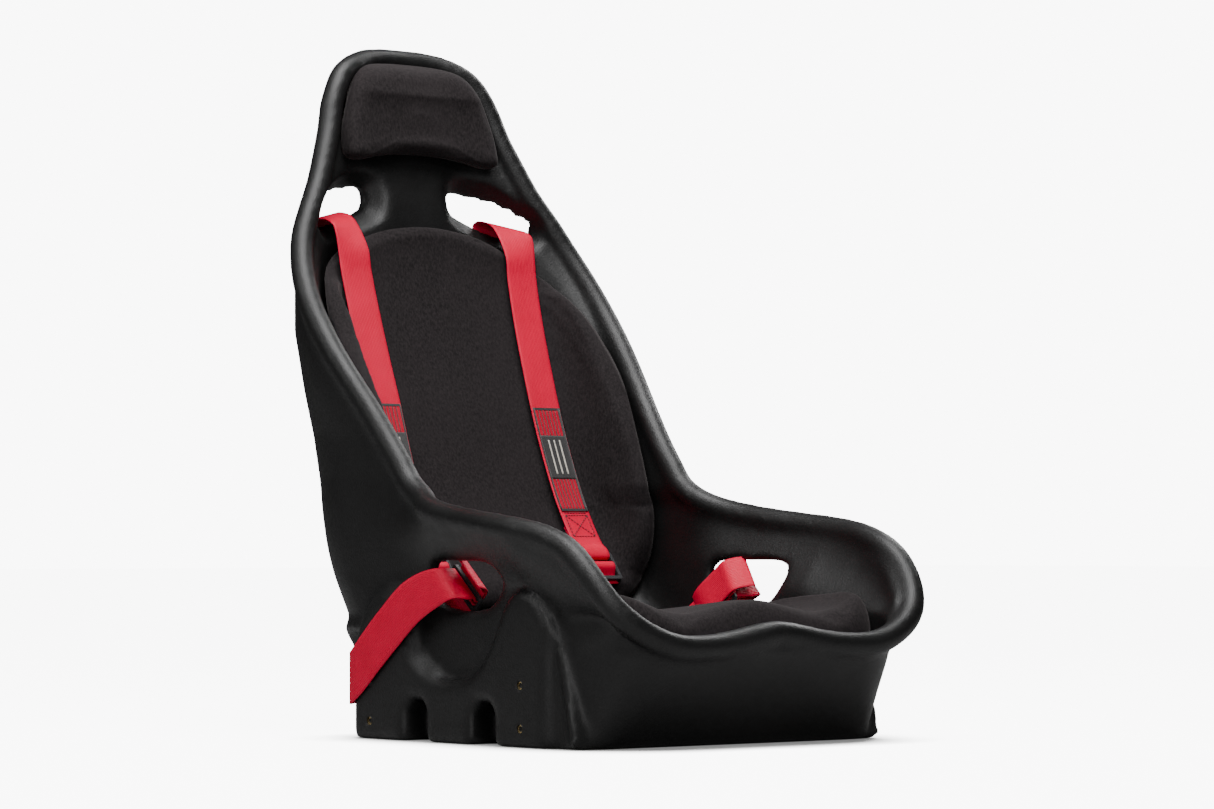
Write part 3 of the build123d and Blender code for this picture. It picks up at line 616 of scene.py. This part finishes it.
def webbing(name, left, right, thick=WEB_THICK, ribs=RIB_COUNT):
    """Ribbed flat webbing between two edge lines, in millimetres, with UVs across and along in metres."""
    left, right = np.array(left, float), np.array(right, float)
    centre = (left + right) / 2
    across = right - left
    tangent = np.gradient(centre, axis=0)
    normal = np.cross(tangent, across)
    normal /= np.linalg.norm(normal, axis=1, keepdims=True)
    columns = 2 * ribs + 5
    u = np.linspace(0, 1, columns)
    swell = np.abs(np.sin(u * math.pi * (ribs + 1)))
    half = thick / 2 * (0.8 + 0.2 * swell)
    half[[0, -1]] = thick * 0.16
    half[[1, -2]] = thick * 0.46
    u[[1, -2]] = [0.012, 0.988]
    profile = np.concatenate([np.stack([u, half], 1), np.stack([u, -half], 1)[::-1]])
    along = run_length(centre)
    verts, uvs = [], []
    for i in range(len(centre)):
        for share, rise in profile:
            verts.append((left[i] + across[i] * share + normal[i] * rise) * MM)
            uvs.append((share * WEB_WIDTH * MM, along[i] * MM))
    size = len(profile)
    faces = []
    for i in range(len(centre) - 1):
        for j in range(size):
            k = (j + 1) % size
            faces.append((i * size + j, i * size + k, (i + 1) * size + k, (i + 1) * size + j))
    faces.append(tuple(range(size))[::-1])
    last = (len(centre) - 1) * size
    faces.append(tuple(range(last, last + size)))
    mesh = bpy.data.meshes.new(name)
    mesh.from_pydata([tuple(v) for v in verts], [], faces)
    layer = mesh.uv_layers.new(name="UVMap")
    corner_uv = np.array([uvs[loop.vertex_index] for loop in mesh.loops])
    layer.data.foreach_set("uv", corner_uv.ravel())
    mesh.shade_smooth()
    return add_object(name, mesh)


def web_piece(obj, node, body="frame"):
    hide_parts(node)
    if body:
        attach(obj, body)
    return obj


def spine_station(z, lift):
    """(y, z) at a height on the cavity's centre line, moved off it towards the occupant."""
    line = SPINE_CURVE[LOWEST:]
    y = np.interp(z, line[:, 1], line[:, 0])
    rise = np.interp([z - 4, z + 4], line[:, 1], line[:, 0])
    tangent = np.array([rise[1] - rise[0], 8]) / math.hypot(rise[1] - rise[0], 8)
    return np.array([y - tangent[1] * lift, z + tangent[0] * lift])


SLIDE_LENGTH, SLIDE_THICK = 43.0, 4.0
SLIDE_BAR = 19                   # from the middle of a slide adjuster up to its top bar


def slide_frame(name):
    """A shoulder adjuster's top bar (y, z) and the unit vectors down it and off it, from its box."""
    low, high = (np.array(corner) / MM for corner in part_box("shoulder_adjuster_" + name))
    depth, height = high[1] - low[1], high[2] - low[2]
    scale = SLIDE_LENGTH ** 2 - SLIDE_THICK ** 2
    rise = (SLIDE_LENGTH * height - SLIDE_THICK * depth) / scale
    reach = (SLIDE_LENGTH * depth - SLIDE_THICK * height) / scale
    down = np.array([-reach, -rise]) / math.hypot(reach, rise)
    middle = (low + high)[1:] / 2
    return middle - down * SLIDE_BAR, down, np.array([down[1], -down[0]])


def smooth_pair(left, right):
    return smooth_curve(left, STEPS), smooth_curve(right, STEPS)


SHOULDER_X = 134                 # middle of the shoulder straps' adjusters
BAR_LOOP = 4.4                   # webbing's middle, off a bar that it goes round
LAYER = 1.1                      # webbing's middle, off the face of the layer under it
# routes through a slide adjuster: down along it, and off its face
UPPER_LOOP = [(-15, LAYER), (-5, BAR_LOOP), (3, BAR_LOOP), (7, 2.2), (7, -2.2), (3, -BAR_LOOP),
              (-5, -BAR_LOOP), (-15, -LAYER), (-44, -LAYER)]
THREADED = [(10, -BAR_LOOP), (16.5, BAR_LOOP), (23.5, BAR_LOOP), (32.5, -BAR_LOOP), (44, -BAR_LOOP)]
STRAP_LIFT = 38.6                # a shoulder strap's front run, over the bucket's centre line
STRAP_PLACES = ([230, 290, 408, 520, 646], [134, 131, 129, 132, 137])   # heights, and x there
PATCH_TOP, PATCH_FOOT, BOX_FOOT = 411, 277, 245


def shoulder_edge(name, side, inner):
    """One edge of a shoulder strap, from its rear anchor through the slot and down to the adjuster."""
    half = WEB_WIDTH / 2 * (-1 if inner else 1)
    bar, down, away = slide_frame(name)
    edge = []
    for z in (418, 440, 475, 520, 565, 605, 628):
        x = SHOULDER_X + half
        edge.append((x, rear_y(x, z) + 2.4, z))
    x = 137 + half
    sill = np.interp(x, [110, 161], [660, 648])
    rear = rear_y(x, sill - 14)
    face = back_y(x, sill - 26)
    edge += [(x, rear + 2.2, sill - 12), (x, rear + 0.5, sill - 3), (x, rear - 8, sill + 0.5),
             (x, face + 20, sill + 0.5), (x, face + 4, sill - 2), (x, face - 12, sill - 10)]
    for z in (604, 580, 555, 525, 495, 465, 435, 405, 375, 345, 315, 290, 266):
        y, height = spine_station(z, STRAP_LIFT)
        edge.append((np.interp(height, *STRAP_PLACES) + half, y, height))
    for v, n in UPPER_LOOP:
        y, z = bar + v * down + n * away
        edge.append((SHOULDER_X + half, y, z))
    return [(side * px, py, pz) for px, py, pz in edge]


def lower_edge(name, side, inner):
    """One edge of the webbing that runs from a shoulder adjuster down to the floor of the shell."""
    x = side * (SHOULDER_X + WEB_WIDTH / 2 * (-1 if inner else 1))
    bar, down, away = slide_frame(name)
    edge = [(x, *(bar + v * down + n * away)) for v, n in THREADED]
    for z, lift in ((172, 30), (164, 14), (156, 2), (140, 2), (124, 2)):
        edge.append((x, *spine_station(z, lift)))
    return edge


FRONT_RUN = slice(12 * STEPS, 26 * STEPS)   # a shoulder strap's points from the slot to the adjuster


def along_strap(strap, z_values):
    """Centre, unit across and unit normal of a strap's front run at given heights."""
    left, right = (edge[FRONT_RUN] for edge in strap)
    order = np.argsort(left[:, 2])

    def pick(line, height):
        return np.stack([np.interp(height, left[order, 2], line[order, i]) for i in range(3)], 1)

    z = np.asarray(z_values, float)
    a, b = pick(left, z), pick(right, z)
    above = pick((left + right) / 2, z + 2) - pick((left + right) / 2, z - 2)
    across = (b - a) / np.linalg.norm(b - a, axis=1, keepdims=True)
    normal = np.cross(across, above)
    normal /= np.linalg.norm(normal, axis=1, keepdims=True)
    normal *= np.where(normal[:, 1:2] > 0, -1, 1)
    return (a + b) / 2, across, normal


def band_on(name, strap, top, foot, low, high, lift, thick, ribs=1):
    """Thin band lying on a strap between two heights and two places across it."""
    centre, across, normal = along_strap(strap, np.linspace(top, foot, 24))
    raised = centre + normal * lift
    return webbing(name, raised + across * low, raised + across * high, thick, ribs)


def join(name, pieces):
    """One object out of several."""
    bpy.ops.object.select_all(action="DESELECT")
    for piece in pieces:
        piece.select_set(True)
    bpy.context.view_layer.objects.active = pieces[0]
    bpy.ops.object.join()
    pieces[0].name = pieces[0].data.name = name
    return pieces[0]


def thread(name, starts, ends, facing, radius=0.55, stitch=3.2, gap=0.9):
    """Rows of short raised stitches, each row from a start to an end, in millimetres."""
    verts, faces = [], []
    for start, end, up in zip(starts, ends, facing):
        start, end = np.array(start, float), np.array(end, float)
        length = np.linalg.norm(end - start)
        ahead = (end - start) / max(length, 1e-6)
        beside = np.cross(up, ahead)
        count = max(1, int(length / (stitch + gap)))
        for i in range(count):
            a = start + ahead * (length * (i + 0.08) / count)
            b = start + ahead * (length * (i + 0.86) / count)
            base = len(verts)
            for share, size in ((0, 0.35), (0.2, 1), (0.8, 1), (1, 0.35)):
                middle = a + (b - a) * share
                for turn in range(6):
                    angle = turn * math.pi / 3
                    spoke = beside * math.cos(angle) + up * math.sin(angle)
                    verts.append((middle + spoke * radius * size) * MM)
            for ring in range(3):
                for turn in range(6):
                    p, q = base + ring * 6 + turn, base + ring * 6 + (turn + 1) % 6
                    faces.append((p, q, q + 6, p + 6))
            faces.append(tuple(range(base, base + 6))[::-1])
            faces.append(tuple(range(base + 18, base + 24)))
    mesh = bpy.data.meshes.new(name)
    mesh.from_pydata([tuple(v) for v in verts], [], faces)
    mesh.shade_smooth()
    return add_object(name, mesh)


def box_stitch(name, strap):
    """The sewn box with a cross that closes a shoulder strap's end."""
    top, foot, half = PATCH_FOOT - 5, BOX_FOOT, 18
    marks = [((-half, top), (half, top)), ((-half, foot), (half, foot)), ((-half, top), (-half, foot)),
             ((half, top), (half, foot)), ((-half, top), (half, foot)), ((half, top), (-half, foot)),
             ((-half, top + 3), (half, top + 3))]
    starts, ends, facing = [], [], []
    for (u0, z0), (u1, z1) in marks:
        centre, across, normal = along_strap(strap, [z0, z1])
        starts.append(centre[0] + across[0] * u0 + normal[0] * 1.3)
        ends.append(centre[1] + across[1] * u1 + normal[1] * 1.3)
        facing.append(normal[0])
    return thread(name, starts, ends, facing)


def frame_joint(name):
    """Place and direction of a joint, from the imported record."""
    for joint in frame["record"]["behaviour"]["joints"]:
        if joint["name"] == name:
            return joint["pos_m"], joint["axis"]
    raise ValueError(name)


LAP_CENTRE = np.array(frame_joint("lap_tilt_left")[0]) / MM
LAP_ACROSS = np.array(frame_joint("lap_tilt_left")[1])
LAP_IN = np.array([-0.97121, 0, 0.23822])
LAP_DOWN = np.cross(LAP_IN, LAP_ACROSS)
LAP_FACE = 248.5                 # x of the webbing where it lies over the flange
# its route round the adjuster's bar, out over the side, and round the rear corner
LAP_LOOP = [(-8, 4.4), (3, 4.4), (6.4, 2.8), (7, -0.8), (4, -3.8), (-1, -5.4), (-5, -13), (-9, -24)]
LAP_SUNK = (5, 1, 0, 0, 0, 0.5, 1.5)   # how far inside that face it starts and ends
LAP_UPPER_SIDE = [(-34, 207), (-8, 202), (28, 188), (62, 164), (98, 135), (122, 114), (132, 106)]
LAP_LOWER_SIDE = [(-68, 172), (-41, 161), (-5, 143), (33, 115), (74, 83), (106, 57), (130, 42)]
LAP_REAR = [(245.5, 135.3), (242, 136.3), (232, 136.5), (220, 136.5), (209, 136.5)]


def lap_point(v, n, across):
    return LAP_CENTRE + v * LAP_DOWN + n * LAP_IN + across * LAP_ACROSS


def lap_outer_edge(upper):
    """One edge of the left lap strap, from the adjuster out through the slot and round the rear corner."""
    reach = WEB_WIDTH / 2 * (1 if upper else -1)
    edge = [tuple(lap_point(v, n, reach)) for v, n in LAP_LOOP]
    along_side = LAP_UPPER_SIDE if upper else LAP_LOWER_SIDE
    edge += [(LAP_FACE - sunk, y, z) for sunk, (y, z) in zip(LAP_SUNK, along_side)]
    heights = (104.5, 103.5, 101, 98, 95) if upper else (41, 41, 43, 46, 49)
    return edge + [(x, y, z) for (x, y), z in zip(LAP_REAR, heights)]


def lap_inner_edge(upper):
    """One edge of the left lap strap's inner run, from the adjuster down the wall to its anchor."""
    reach = WEB_WIDTH / 2 * (1 if upper else -1)
    route = THREADED[:4] + [(44, -BAR_LOOP), (58, -7.2), (74, -7.4), (92, -7.4)]
    return [tuple(lap_point(v, n, reach)) for v, n in route]


def lap_flap_edge(upper):
    """One edge of the lap strap's loose end, which lies over the adjuster on the inside."""
    reach = WEB_WIDTH / 2 * (1 if upper else -1)
    route = [(-27, -13), (-19, 0), (-9, 8.8), (4, 8.4), (24, 7.2), (42, 6.6), (53, 4), (62, 0)]
    return [tuple(lap_point(v, n, reach)) for v, n in route]


def mirrored(points, side):
    return [(side * x, y, z) for x, y, z in points]


def both_edges(edge, side):
    """The two edge lines of a piece of lap webbing, on one side of the seat."""
    return smooth_pair(mirrored(edge(True), side), mirrored(edge(False), side))


def shoulder_set(name, side):
    """A shoulder strap and the webbing below its adjuster; gives the strap's edge lines."""
    strap = smooth_pair(*(shoulder_edge(name, side, inner) for inner in (True, False)))
    straps.append(web_piece(webbing("shoulder_strap_" + name, *strap), "shoulder_webbing_" + name))
    lower = smooth_pair(*(lower_edge(name, side, inner) for inner in (True, False)))
    tail = web_piece(webbing("shoulder_tail_" + name, *lower), "shoulder_lower_webbing_" + name, None)
    bar, down, away = slide_frame(name)
    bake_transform(tail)
    straps.append(tail)
    return strap


def lap_set(name, side):
    """A lap strap's outer run, inner run and loose end; the last two are baked in place and attached to no
    body.
    """
    outer = webbing("lap_strap_" + name, *both_edges(lap_outer_edge, side))
    straps.append(web_piece(outer, "lap_webbing_outer_" + name))
    tail = webbing("lap_tail_" + name, *both_edges(lap_inner_edge, side))
    web_piece(tail, "lap_webbing_inner_" + name, None)
    flap = webbing("lap_flap_" + name, *both_edges(lap_flap_edge, side))
    for piece in (tail, flap):
        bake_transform(piece)
        straps.append(piece)


def patch_set(name, strap):
    """The patch on a shoulder strap: its webbing, black lines and block, pale bars and sewn box."""
    length = PATCH_TOP - PATCH_FOOT
    block_top = PATCH_TOP - 0.27 * length
    block_foot = PATCH_FOOT + 0.31 * length
    base = band_on("patch_base_" + name, strap, PATCH_TOP, PATCH_FOOT, -21.5, 21.5, 1.5, 1.0, 11)
    marks = [band_on("mark", strap, PATCH_TOP, PATCH_FOOT, low, high, 2.0, 0.9)
             for low, high in ((-22, -19.6), (18.2, 22))]
    marks += [band_on("mark", strap, top, foot, -22, 22, 2.0, 0.9, 5)
              for top, foot in ((PATCH_TOP, PATCH_TOP - 3), (PATCH_FOOT + 3, PATCH_FOOT),
                                (block_top, block_foot))]
    marks += [band_on("mark", strap, top, foot, u - 0.65, u + 0.65, 1.95, 0.8)
              for top, foot in ((PATCH_TOP, block_top), (block_foot, PATCH_FOOT))
              for u in (-14, -8.5, -3, 2.5, 8, 13.5)]
    border = join("patch_border_" + name, marks)
    bars = join("patch_bars_" + name,
                [band_on("bar", strap, block_top - 6, block_foot + 6, u - 1.1, u + 1.1, 2.5, 0.7)
                 for u in (-9, 0, 9)])
    sewing = box_stitch("strap_stitching_" + name, strap)
    for part in (base, border, bars, sewing):
        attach(part, "frame")
    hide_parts("shoulder_patch_" + name)
    patches.append((base, border, bars, sewing))


straps, patches = [], []
for name, side in (("left", 1), ("right", -1)):
    strap = shoulder_set(name, side)
    lap_set(name, side)
    patch_set(name, strap)


# ---------------- materials
class Finish:
    """A node material under construction: textures feed its colour, roughness and bump."""

    def __init__(self, name, roughness, **uniform):
        self.material = bpy.data.materials.new(name)
        self.material.use_nodes = True
        self.tree = self.material.node_tree
        self.shader = self.tree.nodes["Principled BSDF"]
        self.shader.inputs["Roughness"].default_value = roughness
        for socket, value in uniform.items():
            self.shader.inputs[socket.replace("_", " ")].default_value = value
        self.place = self.tree.nodes.new("ShaderNodeTexCoord")
        self.bump = None

    def node(self, kind, links=(), **values):
        made = self.tree.nodes.new(kind)
        for key, value in values.items():
            setattr(made, key, value)
        for socket, source in dict(links).items():
            if isinstance(source, bpy.types.NodeSocket):
                self.tree.links.new(source, made.inputs[socket])
            else:
                made.inputs[socket].default_value = source
        return made

    def noise(self, scale, detail=3.0, stretch=(1, 1, 1), coordinates="Object"):
        mapping = self.node("ShaderNodeMapping", {"Vector": self.place.outputs[coordinates],
                                                  "Scale": stretch})
        return self.node("ShaderNodeTexNoise", {"Vector": mapping.outputs[0], "Scale": scale,
                                                "Detail": detail}).outputs["Fac"]

    def cells(self, scale):
        return self.node("ShaderNodeTexVoronoi", {"Vector": self.place.outputs["Object"], "Scale": scale},
                         feature="SMOOTH_F1").outputs["Distance"]

    def bands(self, scale, turn, coordinates="UV"):
        mapping = self.node("ShaderNodeMapping", {"Vector": self.place.outputs[coordinates],
                                                  "Rotation": (0, 0, math.radians(turn))})
        return self.node("ShaderNodeTexWave", {"Vector": mapping.outputs[0], "Scale": scale},
                         bands_direction="X").outputs["Fac"]

    def blend(self, factor, low, high):
        """Colour between two, by a texture."""
        mixed = self.node("ShaderNodeMix", data_type="RGBA")
        self.tree.links.new(factor, mixed.inputs[0])
        for socket, value in ((6, low), (7, high)):
            if isinstance(value, bpy.types.NodeSocket):
                self.tree.links.new(value, mixed.inputs[socket])
            else:
                mixed.inputs[socket].default_value = (*value, 1)
        return mixed.outputs[2]

    def spread(self, factor, low, high, start=0.3, end=0.7):
        """A texture's value moved into a range."""
        return self.node("ShaderNodeMapRange", {"Value": factor, "From Min": start, "From Max": end,
                                                "To Min": low, "To Max": high}).outputs[0]

    def multiply(self, a, b):
        return self.node("ShaderNodeMath", {0: a, 1: b}, operation="MULTIPLY").outputs[0]

    def colour(self, source):
        self.tree.links.new(source, self.shader.inputs["Base Color"])

    def rough(self, source):
        self.tree.links.new(source, self.shader.inputs["Roughness"])

    def raise_by(self, height, depth, strength=1.0):
        """Add a texture to the surface's bump, depth in metres."""
        made = self.node("ShaderNodeBump", {"Height": height, "Distance": depth, "Strength": strength})
        if self.bump:
            self.tree.links.new(self.bump, made.inputs["Normal"])
        self.bump = made.outputs["Normal"]
        self.tree.links.new(self.bump, self.shader.inputs["Normal"])


def moulded_plastic(name, dark, light, roughness, grain):
    """Grained plastic: fine pebbles, faint flow marks and uneven polish."""
    finish = Finish(name, roughness, Specular_IOR_Level=0.28)
    finish.colour(finish.blend(finish.noise(7, 4), dark, light))
    finish.rough(finish.spread(finish.noise(11, 5), roughness - 0.05, roughness + 0.07))
    finish.raise_by(finish.noise(grain, 2), 0.0005, 0.7)
    finish.raise_by(finish.cells(grain * 0.55), 0.0004, 0.5)
    finish.raise_by(finish.noise(18, 2), 0.0009, 0.2)
    return finish.material


def micro_suede(name):
    """Brushed pile: dark, soft sheen, with patches where the pile lies the other way."""
    finish = Finish(name, 0.92, Specular_IOR_Level=0.12, Sheen_Weight=0.07, Sheen_Roughness=0.4)
    finish.shader.inputs["Sheen Tint"].default_value = (0.62, 0.56, 0.56, 1)
    clouds = finish.spread(finish.noise(9, 6, (1, 1, 0.7)), 0, 1, 0.35, 0.65)
    fibres = finish.spread(finish.noise(420, 4, (1, 1, 0.5)), 0, 1, 0.3, 0.72)
    broad = finish.blend(clouds, (0.0028, 0.0021, 0.0023), (0.0068, 0.0053, 0.0057))
    finish.colour(finish.blend(fibres, broad, (0.0140, 0.0112, 0.0118)))
    finish.raise_by(finish.noise(620, 3), 0.0007, 0.5)
    finish.raise_by(finish.noise(26, 3), 0.0020, 0.3)
    return finish.material


def woven(name, dark, light, roughness=0.42):
    """Twill webbing: ribs along the strap, crossed by fine slanting yarns."""
    finish = Finish(name, roughness, Specular_IOR_Level=0.15)
    ribs = finish.bands(130, 0)
    yarns = finish.multiply(finish.bands(210, 38), finish.bands(250, 90))
    tone = finish.blend(finish.noise(30, 4), dark, light)
    shade = tuple(part * 0.45 for part in dark)
    finish.colour(finish.blend(finish.spread(yarns, 0.0, 0.45, 0.1, 0.9), tone, shade))
    finish.raise_by(ribs, 0.00035, 0.6)
    finish.raise_by(yarns, 0.00025, 0.7)
    finish.raise_by(finish.noise(60, 3), 0.0006, 0.3)
    return finish.material


def thread_finish(name, dark, light):
    finish = Finish(name, 0.6, Specular_IOR_Level=0.35, Sheen_Weight=0.15)
    finish.colour(finish.blend(finish.noise(900, 2), dark, light))
    finish.raise_by(finish.bands(420, 60), 0.0002, 0.6)
    finish.raise_by(finish.noise(1500, 2), 0.0002, 0.5)
    return finish.material


def metal(name, dark, light, roughness):
    """Turned and plated metal with fine scratches."""
    finish = Finish(name, roughness, Metallic=1.0)
    finish.colour(finish.blend(finish.noise(90, 5), dark, light))
    finish.rough(finish.spread(finish.noise(240, 4, (1, 1, 8)), roughness - 0.08, roughness + 0.12))
    finish.raise_by(finish.noise(1300, 2, (1, 6, 1)), 0.00008, 0.4)
    return finish.material


def cellular(name, roughness, specular, scale, dark, light, depth, strength):
    """Matt material of small cells: foam, or the loops of a fastener tape."""
    finish = Finish(name, roughness, Specular_IOR_Level=specular)
    finish.colour(finish.blend(finish.cells(scale), dark, light))
    finish.raise_by(finish.cells(scale), depth, strength)
    return finish.material


def coat(obj, material):
    """Give one material to every slot of an object."""
    if not obj.material_slots:
        obj.data.materials.append(material)
    for place in obj.material_slots:
        place.material = material


SHELL = moulded_plastic("shell_plastic_grain", (0.0022, 0.0022, 0.0022), (0.0036, 0.0035, 0.0035), 0.44, 800)
SUEDE = micro_suede("pad_micro_suede")
RED = woven("crimson_webbing", (0.39, 0.0, 0.020), (0.51, 0.0, 0.031))
DEEP_RED = woven("patch_webbing", (0.27, 0.0, 0.012), (0.36, 0.0, 0.019))
BLACK_THREAD = thread_finish("black_embroidery", (0.004, 0.004, 0.004), (0.014, 0.013, 0.013))
PALE_THREAD = thread_finish("grey_embroidery", (0.28, 0.25, 0.21), (0.46, 0.43, 0.38))
SLIDE = moulded_plastic("adjuster_plastic_grain", (0.016, 0.016, 0.017), (0.024, 0.024, 0.025), 0.34, 1500)
PLUG = moulded_plastic("plug_plastic_grain", (0.02, 0.02, 0.02), (0.03, 0.03, 0.03), 0.5, 900)
STEEL = metal("zinc_plated_steel", (0.42, 0.43, 0.44), (0.62, 0.63, 0.64), 0.32)
BOLT = metal("black_oxide_steel", (0.03, 0.03, 0.032), (0.06, 0.06, 0.062), 0.4)
BRASS = metal("knurled_brass", (0.52, 0.38, 0.17), (0.72, 0.55, 0.27), 0.3)

FOAM = cellular("pad_foam_cells", 0.95, 0.15, 600, (0.03, 0.03, 0.033), (0.09, 0.088, 0.09), 0.0006, 0.7)
TAPE = cellular("hook_and_loop_tape", 0.8, 0.2, 900, (0.006,) * 3, (0.03,) * 3, 0.0008, 0.8)

for pieces, finish in (([seat_shell], SHELL), ((headrest, back_pad, seat_pad), SUEDE), (foams, FOAM),
                       (straps, RED)):
    for piece in pieces:
        coat(piece, finish)
for patch in patches:            # its webbing, black lines, pale bars and sewn box
    for piece, finish in zip(patch, (DEEP_RED, BLACK_THREAD, PALE_THREAD, BLACK_THREAD)):
        coat(piece, finish)
FINISHES = {"vent_plug": PLUG, "anchor_inserts": BRASS, "anchor_plates": STEEL, "anchor_washers": STEEL,
            "anchor_bolts": BOLT, "side_inserts_left": BRASS, "side_inserts_right": BRASS}
for name in ("headrest", "back_pad", "seat_cushion"):
    FINISHES[name + "_fastener_strips"] = TAPE
for name in ("left", "right"):
    FINISHES["shoulder_adjuster_" + name] = SLIDE
    FINISHES["lap_adjuster_" + name] = SLIDE
for node, finish in FINISHES.items():
    coat(frame["nodes"][node], finish)


# ---------------- floor, light and camera
def area_light(name, place, target, size, power):
    light = bpy.data.lights.new(name, "AREA")
    light.shape = "RECTANGLE"
    light.size, light.size_y = size
    light.energy = power
    obj = add_object(name, light)
    obj.location = place
    obj.rotation_euler = (Vector(target) - Vector(place)).to_track_quat("-Z", "Y").to_euler()
    return obj


floor_mesh = bpy.data.meshes.new("floor")
floor_mesh.from_pydata([(-30, -30, 0), (30, -30, 0), (30, 30, 0), (-30, 30, 0)], [], [(0, 1, 2, 3)])
floor = add_object("floor", floor_mesh)
paper = Finish("floor_paper", 0.95, Specular_IOR_Level=0.0)
paper.colour(paper.blend(paper.noise(3, 3), (0.26, 0.26, 0.26), (0.28, 0.28, 0.28)))
paper.shader.inputs["Emission Color"].default_value = (1, 1, 1, 1)
lit = paper.node("ShaderNodeLightPath")
# Ambient occlusion dims the floor's camera-only glow round the seat's foot: a painted contact shadow, not a
# shadow cast by the lamps.
near = paper.node("ShaderNodeAmbientOcclusion", {"Distance": 0.1}).outputs["AO"]
floor_glow_with_painted_shadow = paper.multiply(paper.spread(lit.outputs["Is Camera Ray"], 0.0, 8.4, 0, 1),
                      paper.spread(near, 0.02, 1.0, 0.5, 0.97))
paper.tree.links.new(floor_glow_with_painted_shadow, paper.shader.inputs["Emission Strength"])
coat(floor, paper.material)

world = bpy.data.worlds.new("studio")
world.use_nodes = True
tree = world.node_tree
background = tree.nodes["Background"]
background.inputs["Color"].default_value = (1, 1, 1, 1)
seen = tree.nodes.new("ShaderNodeLightPath")
level = tree.nodes.new("ShaderNodeMapRange")
level.inputs["To Min"].default_value = 0.06
level.inputs["To Max"].default_value = 9.0
tree.links.new(seen.outputs["Is Camera Ray"], level.inputs["Value"])
tree.links.new(level.outputs[0], background.inputs["Strength"])
bpy.context.scene.world = world
area_light("overhead", (-0.5, -0.6, 3.0), (0, 0, 0.3), (2.4, 2.2), 260)
area_light("left_window", (-2.6, 1.0, 2.2), (0, 0, 0.6), (0.7, 1.8), 34)
area_light("right_window", (2.4, 0.8, 2.2), (0, 0, 0.5), (0.7, 1.8), 42)
area_light("ridge_strip", (-2.9, -2.7, 0.9), (0, 0, 0.2), (0.35, 1.5), 36)
area_light("front_fill", (-1.8, -3.2, 2.6), (0, 0, 0.4), (1.2, 1.0), 60)

CAMERA_TURN = math.radians(40.02)
CAMERA_RISE = math.radians(1.96)
camera_data = bpy.data.cameras.new("camera")
camera_data.sensor_width = 36
camera_data.lens = 121.4
camera = add_object("camera", camera_data)
camera.location = (-3.215, -3.887, 0.235)
gaze = Vector((math.sin(CAMERA_TURN) * math.cos(CAMERA_RISE), math.cos(CAMERA_TURN) * math.cos(CAMERA_RISE),
               math.sin(CAMERA_RISE)))
camera.rotation_euler = gaze.to_track_quat("-Z", "Y").to_euler()
bpy.context.scene.camera = camera
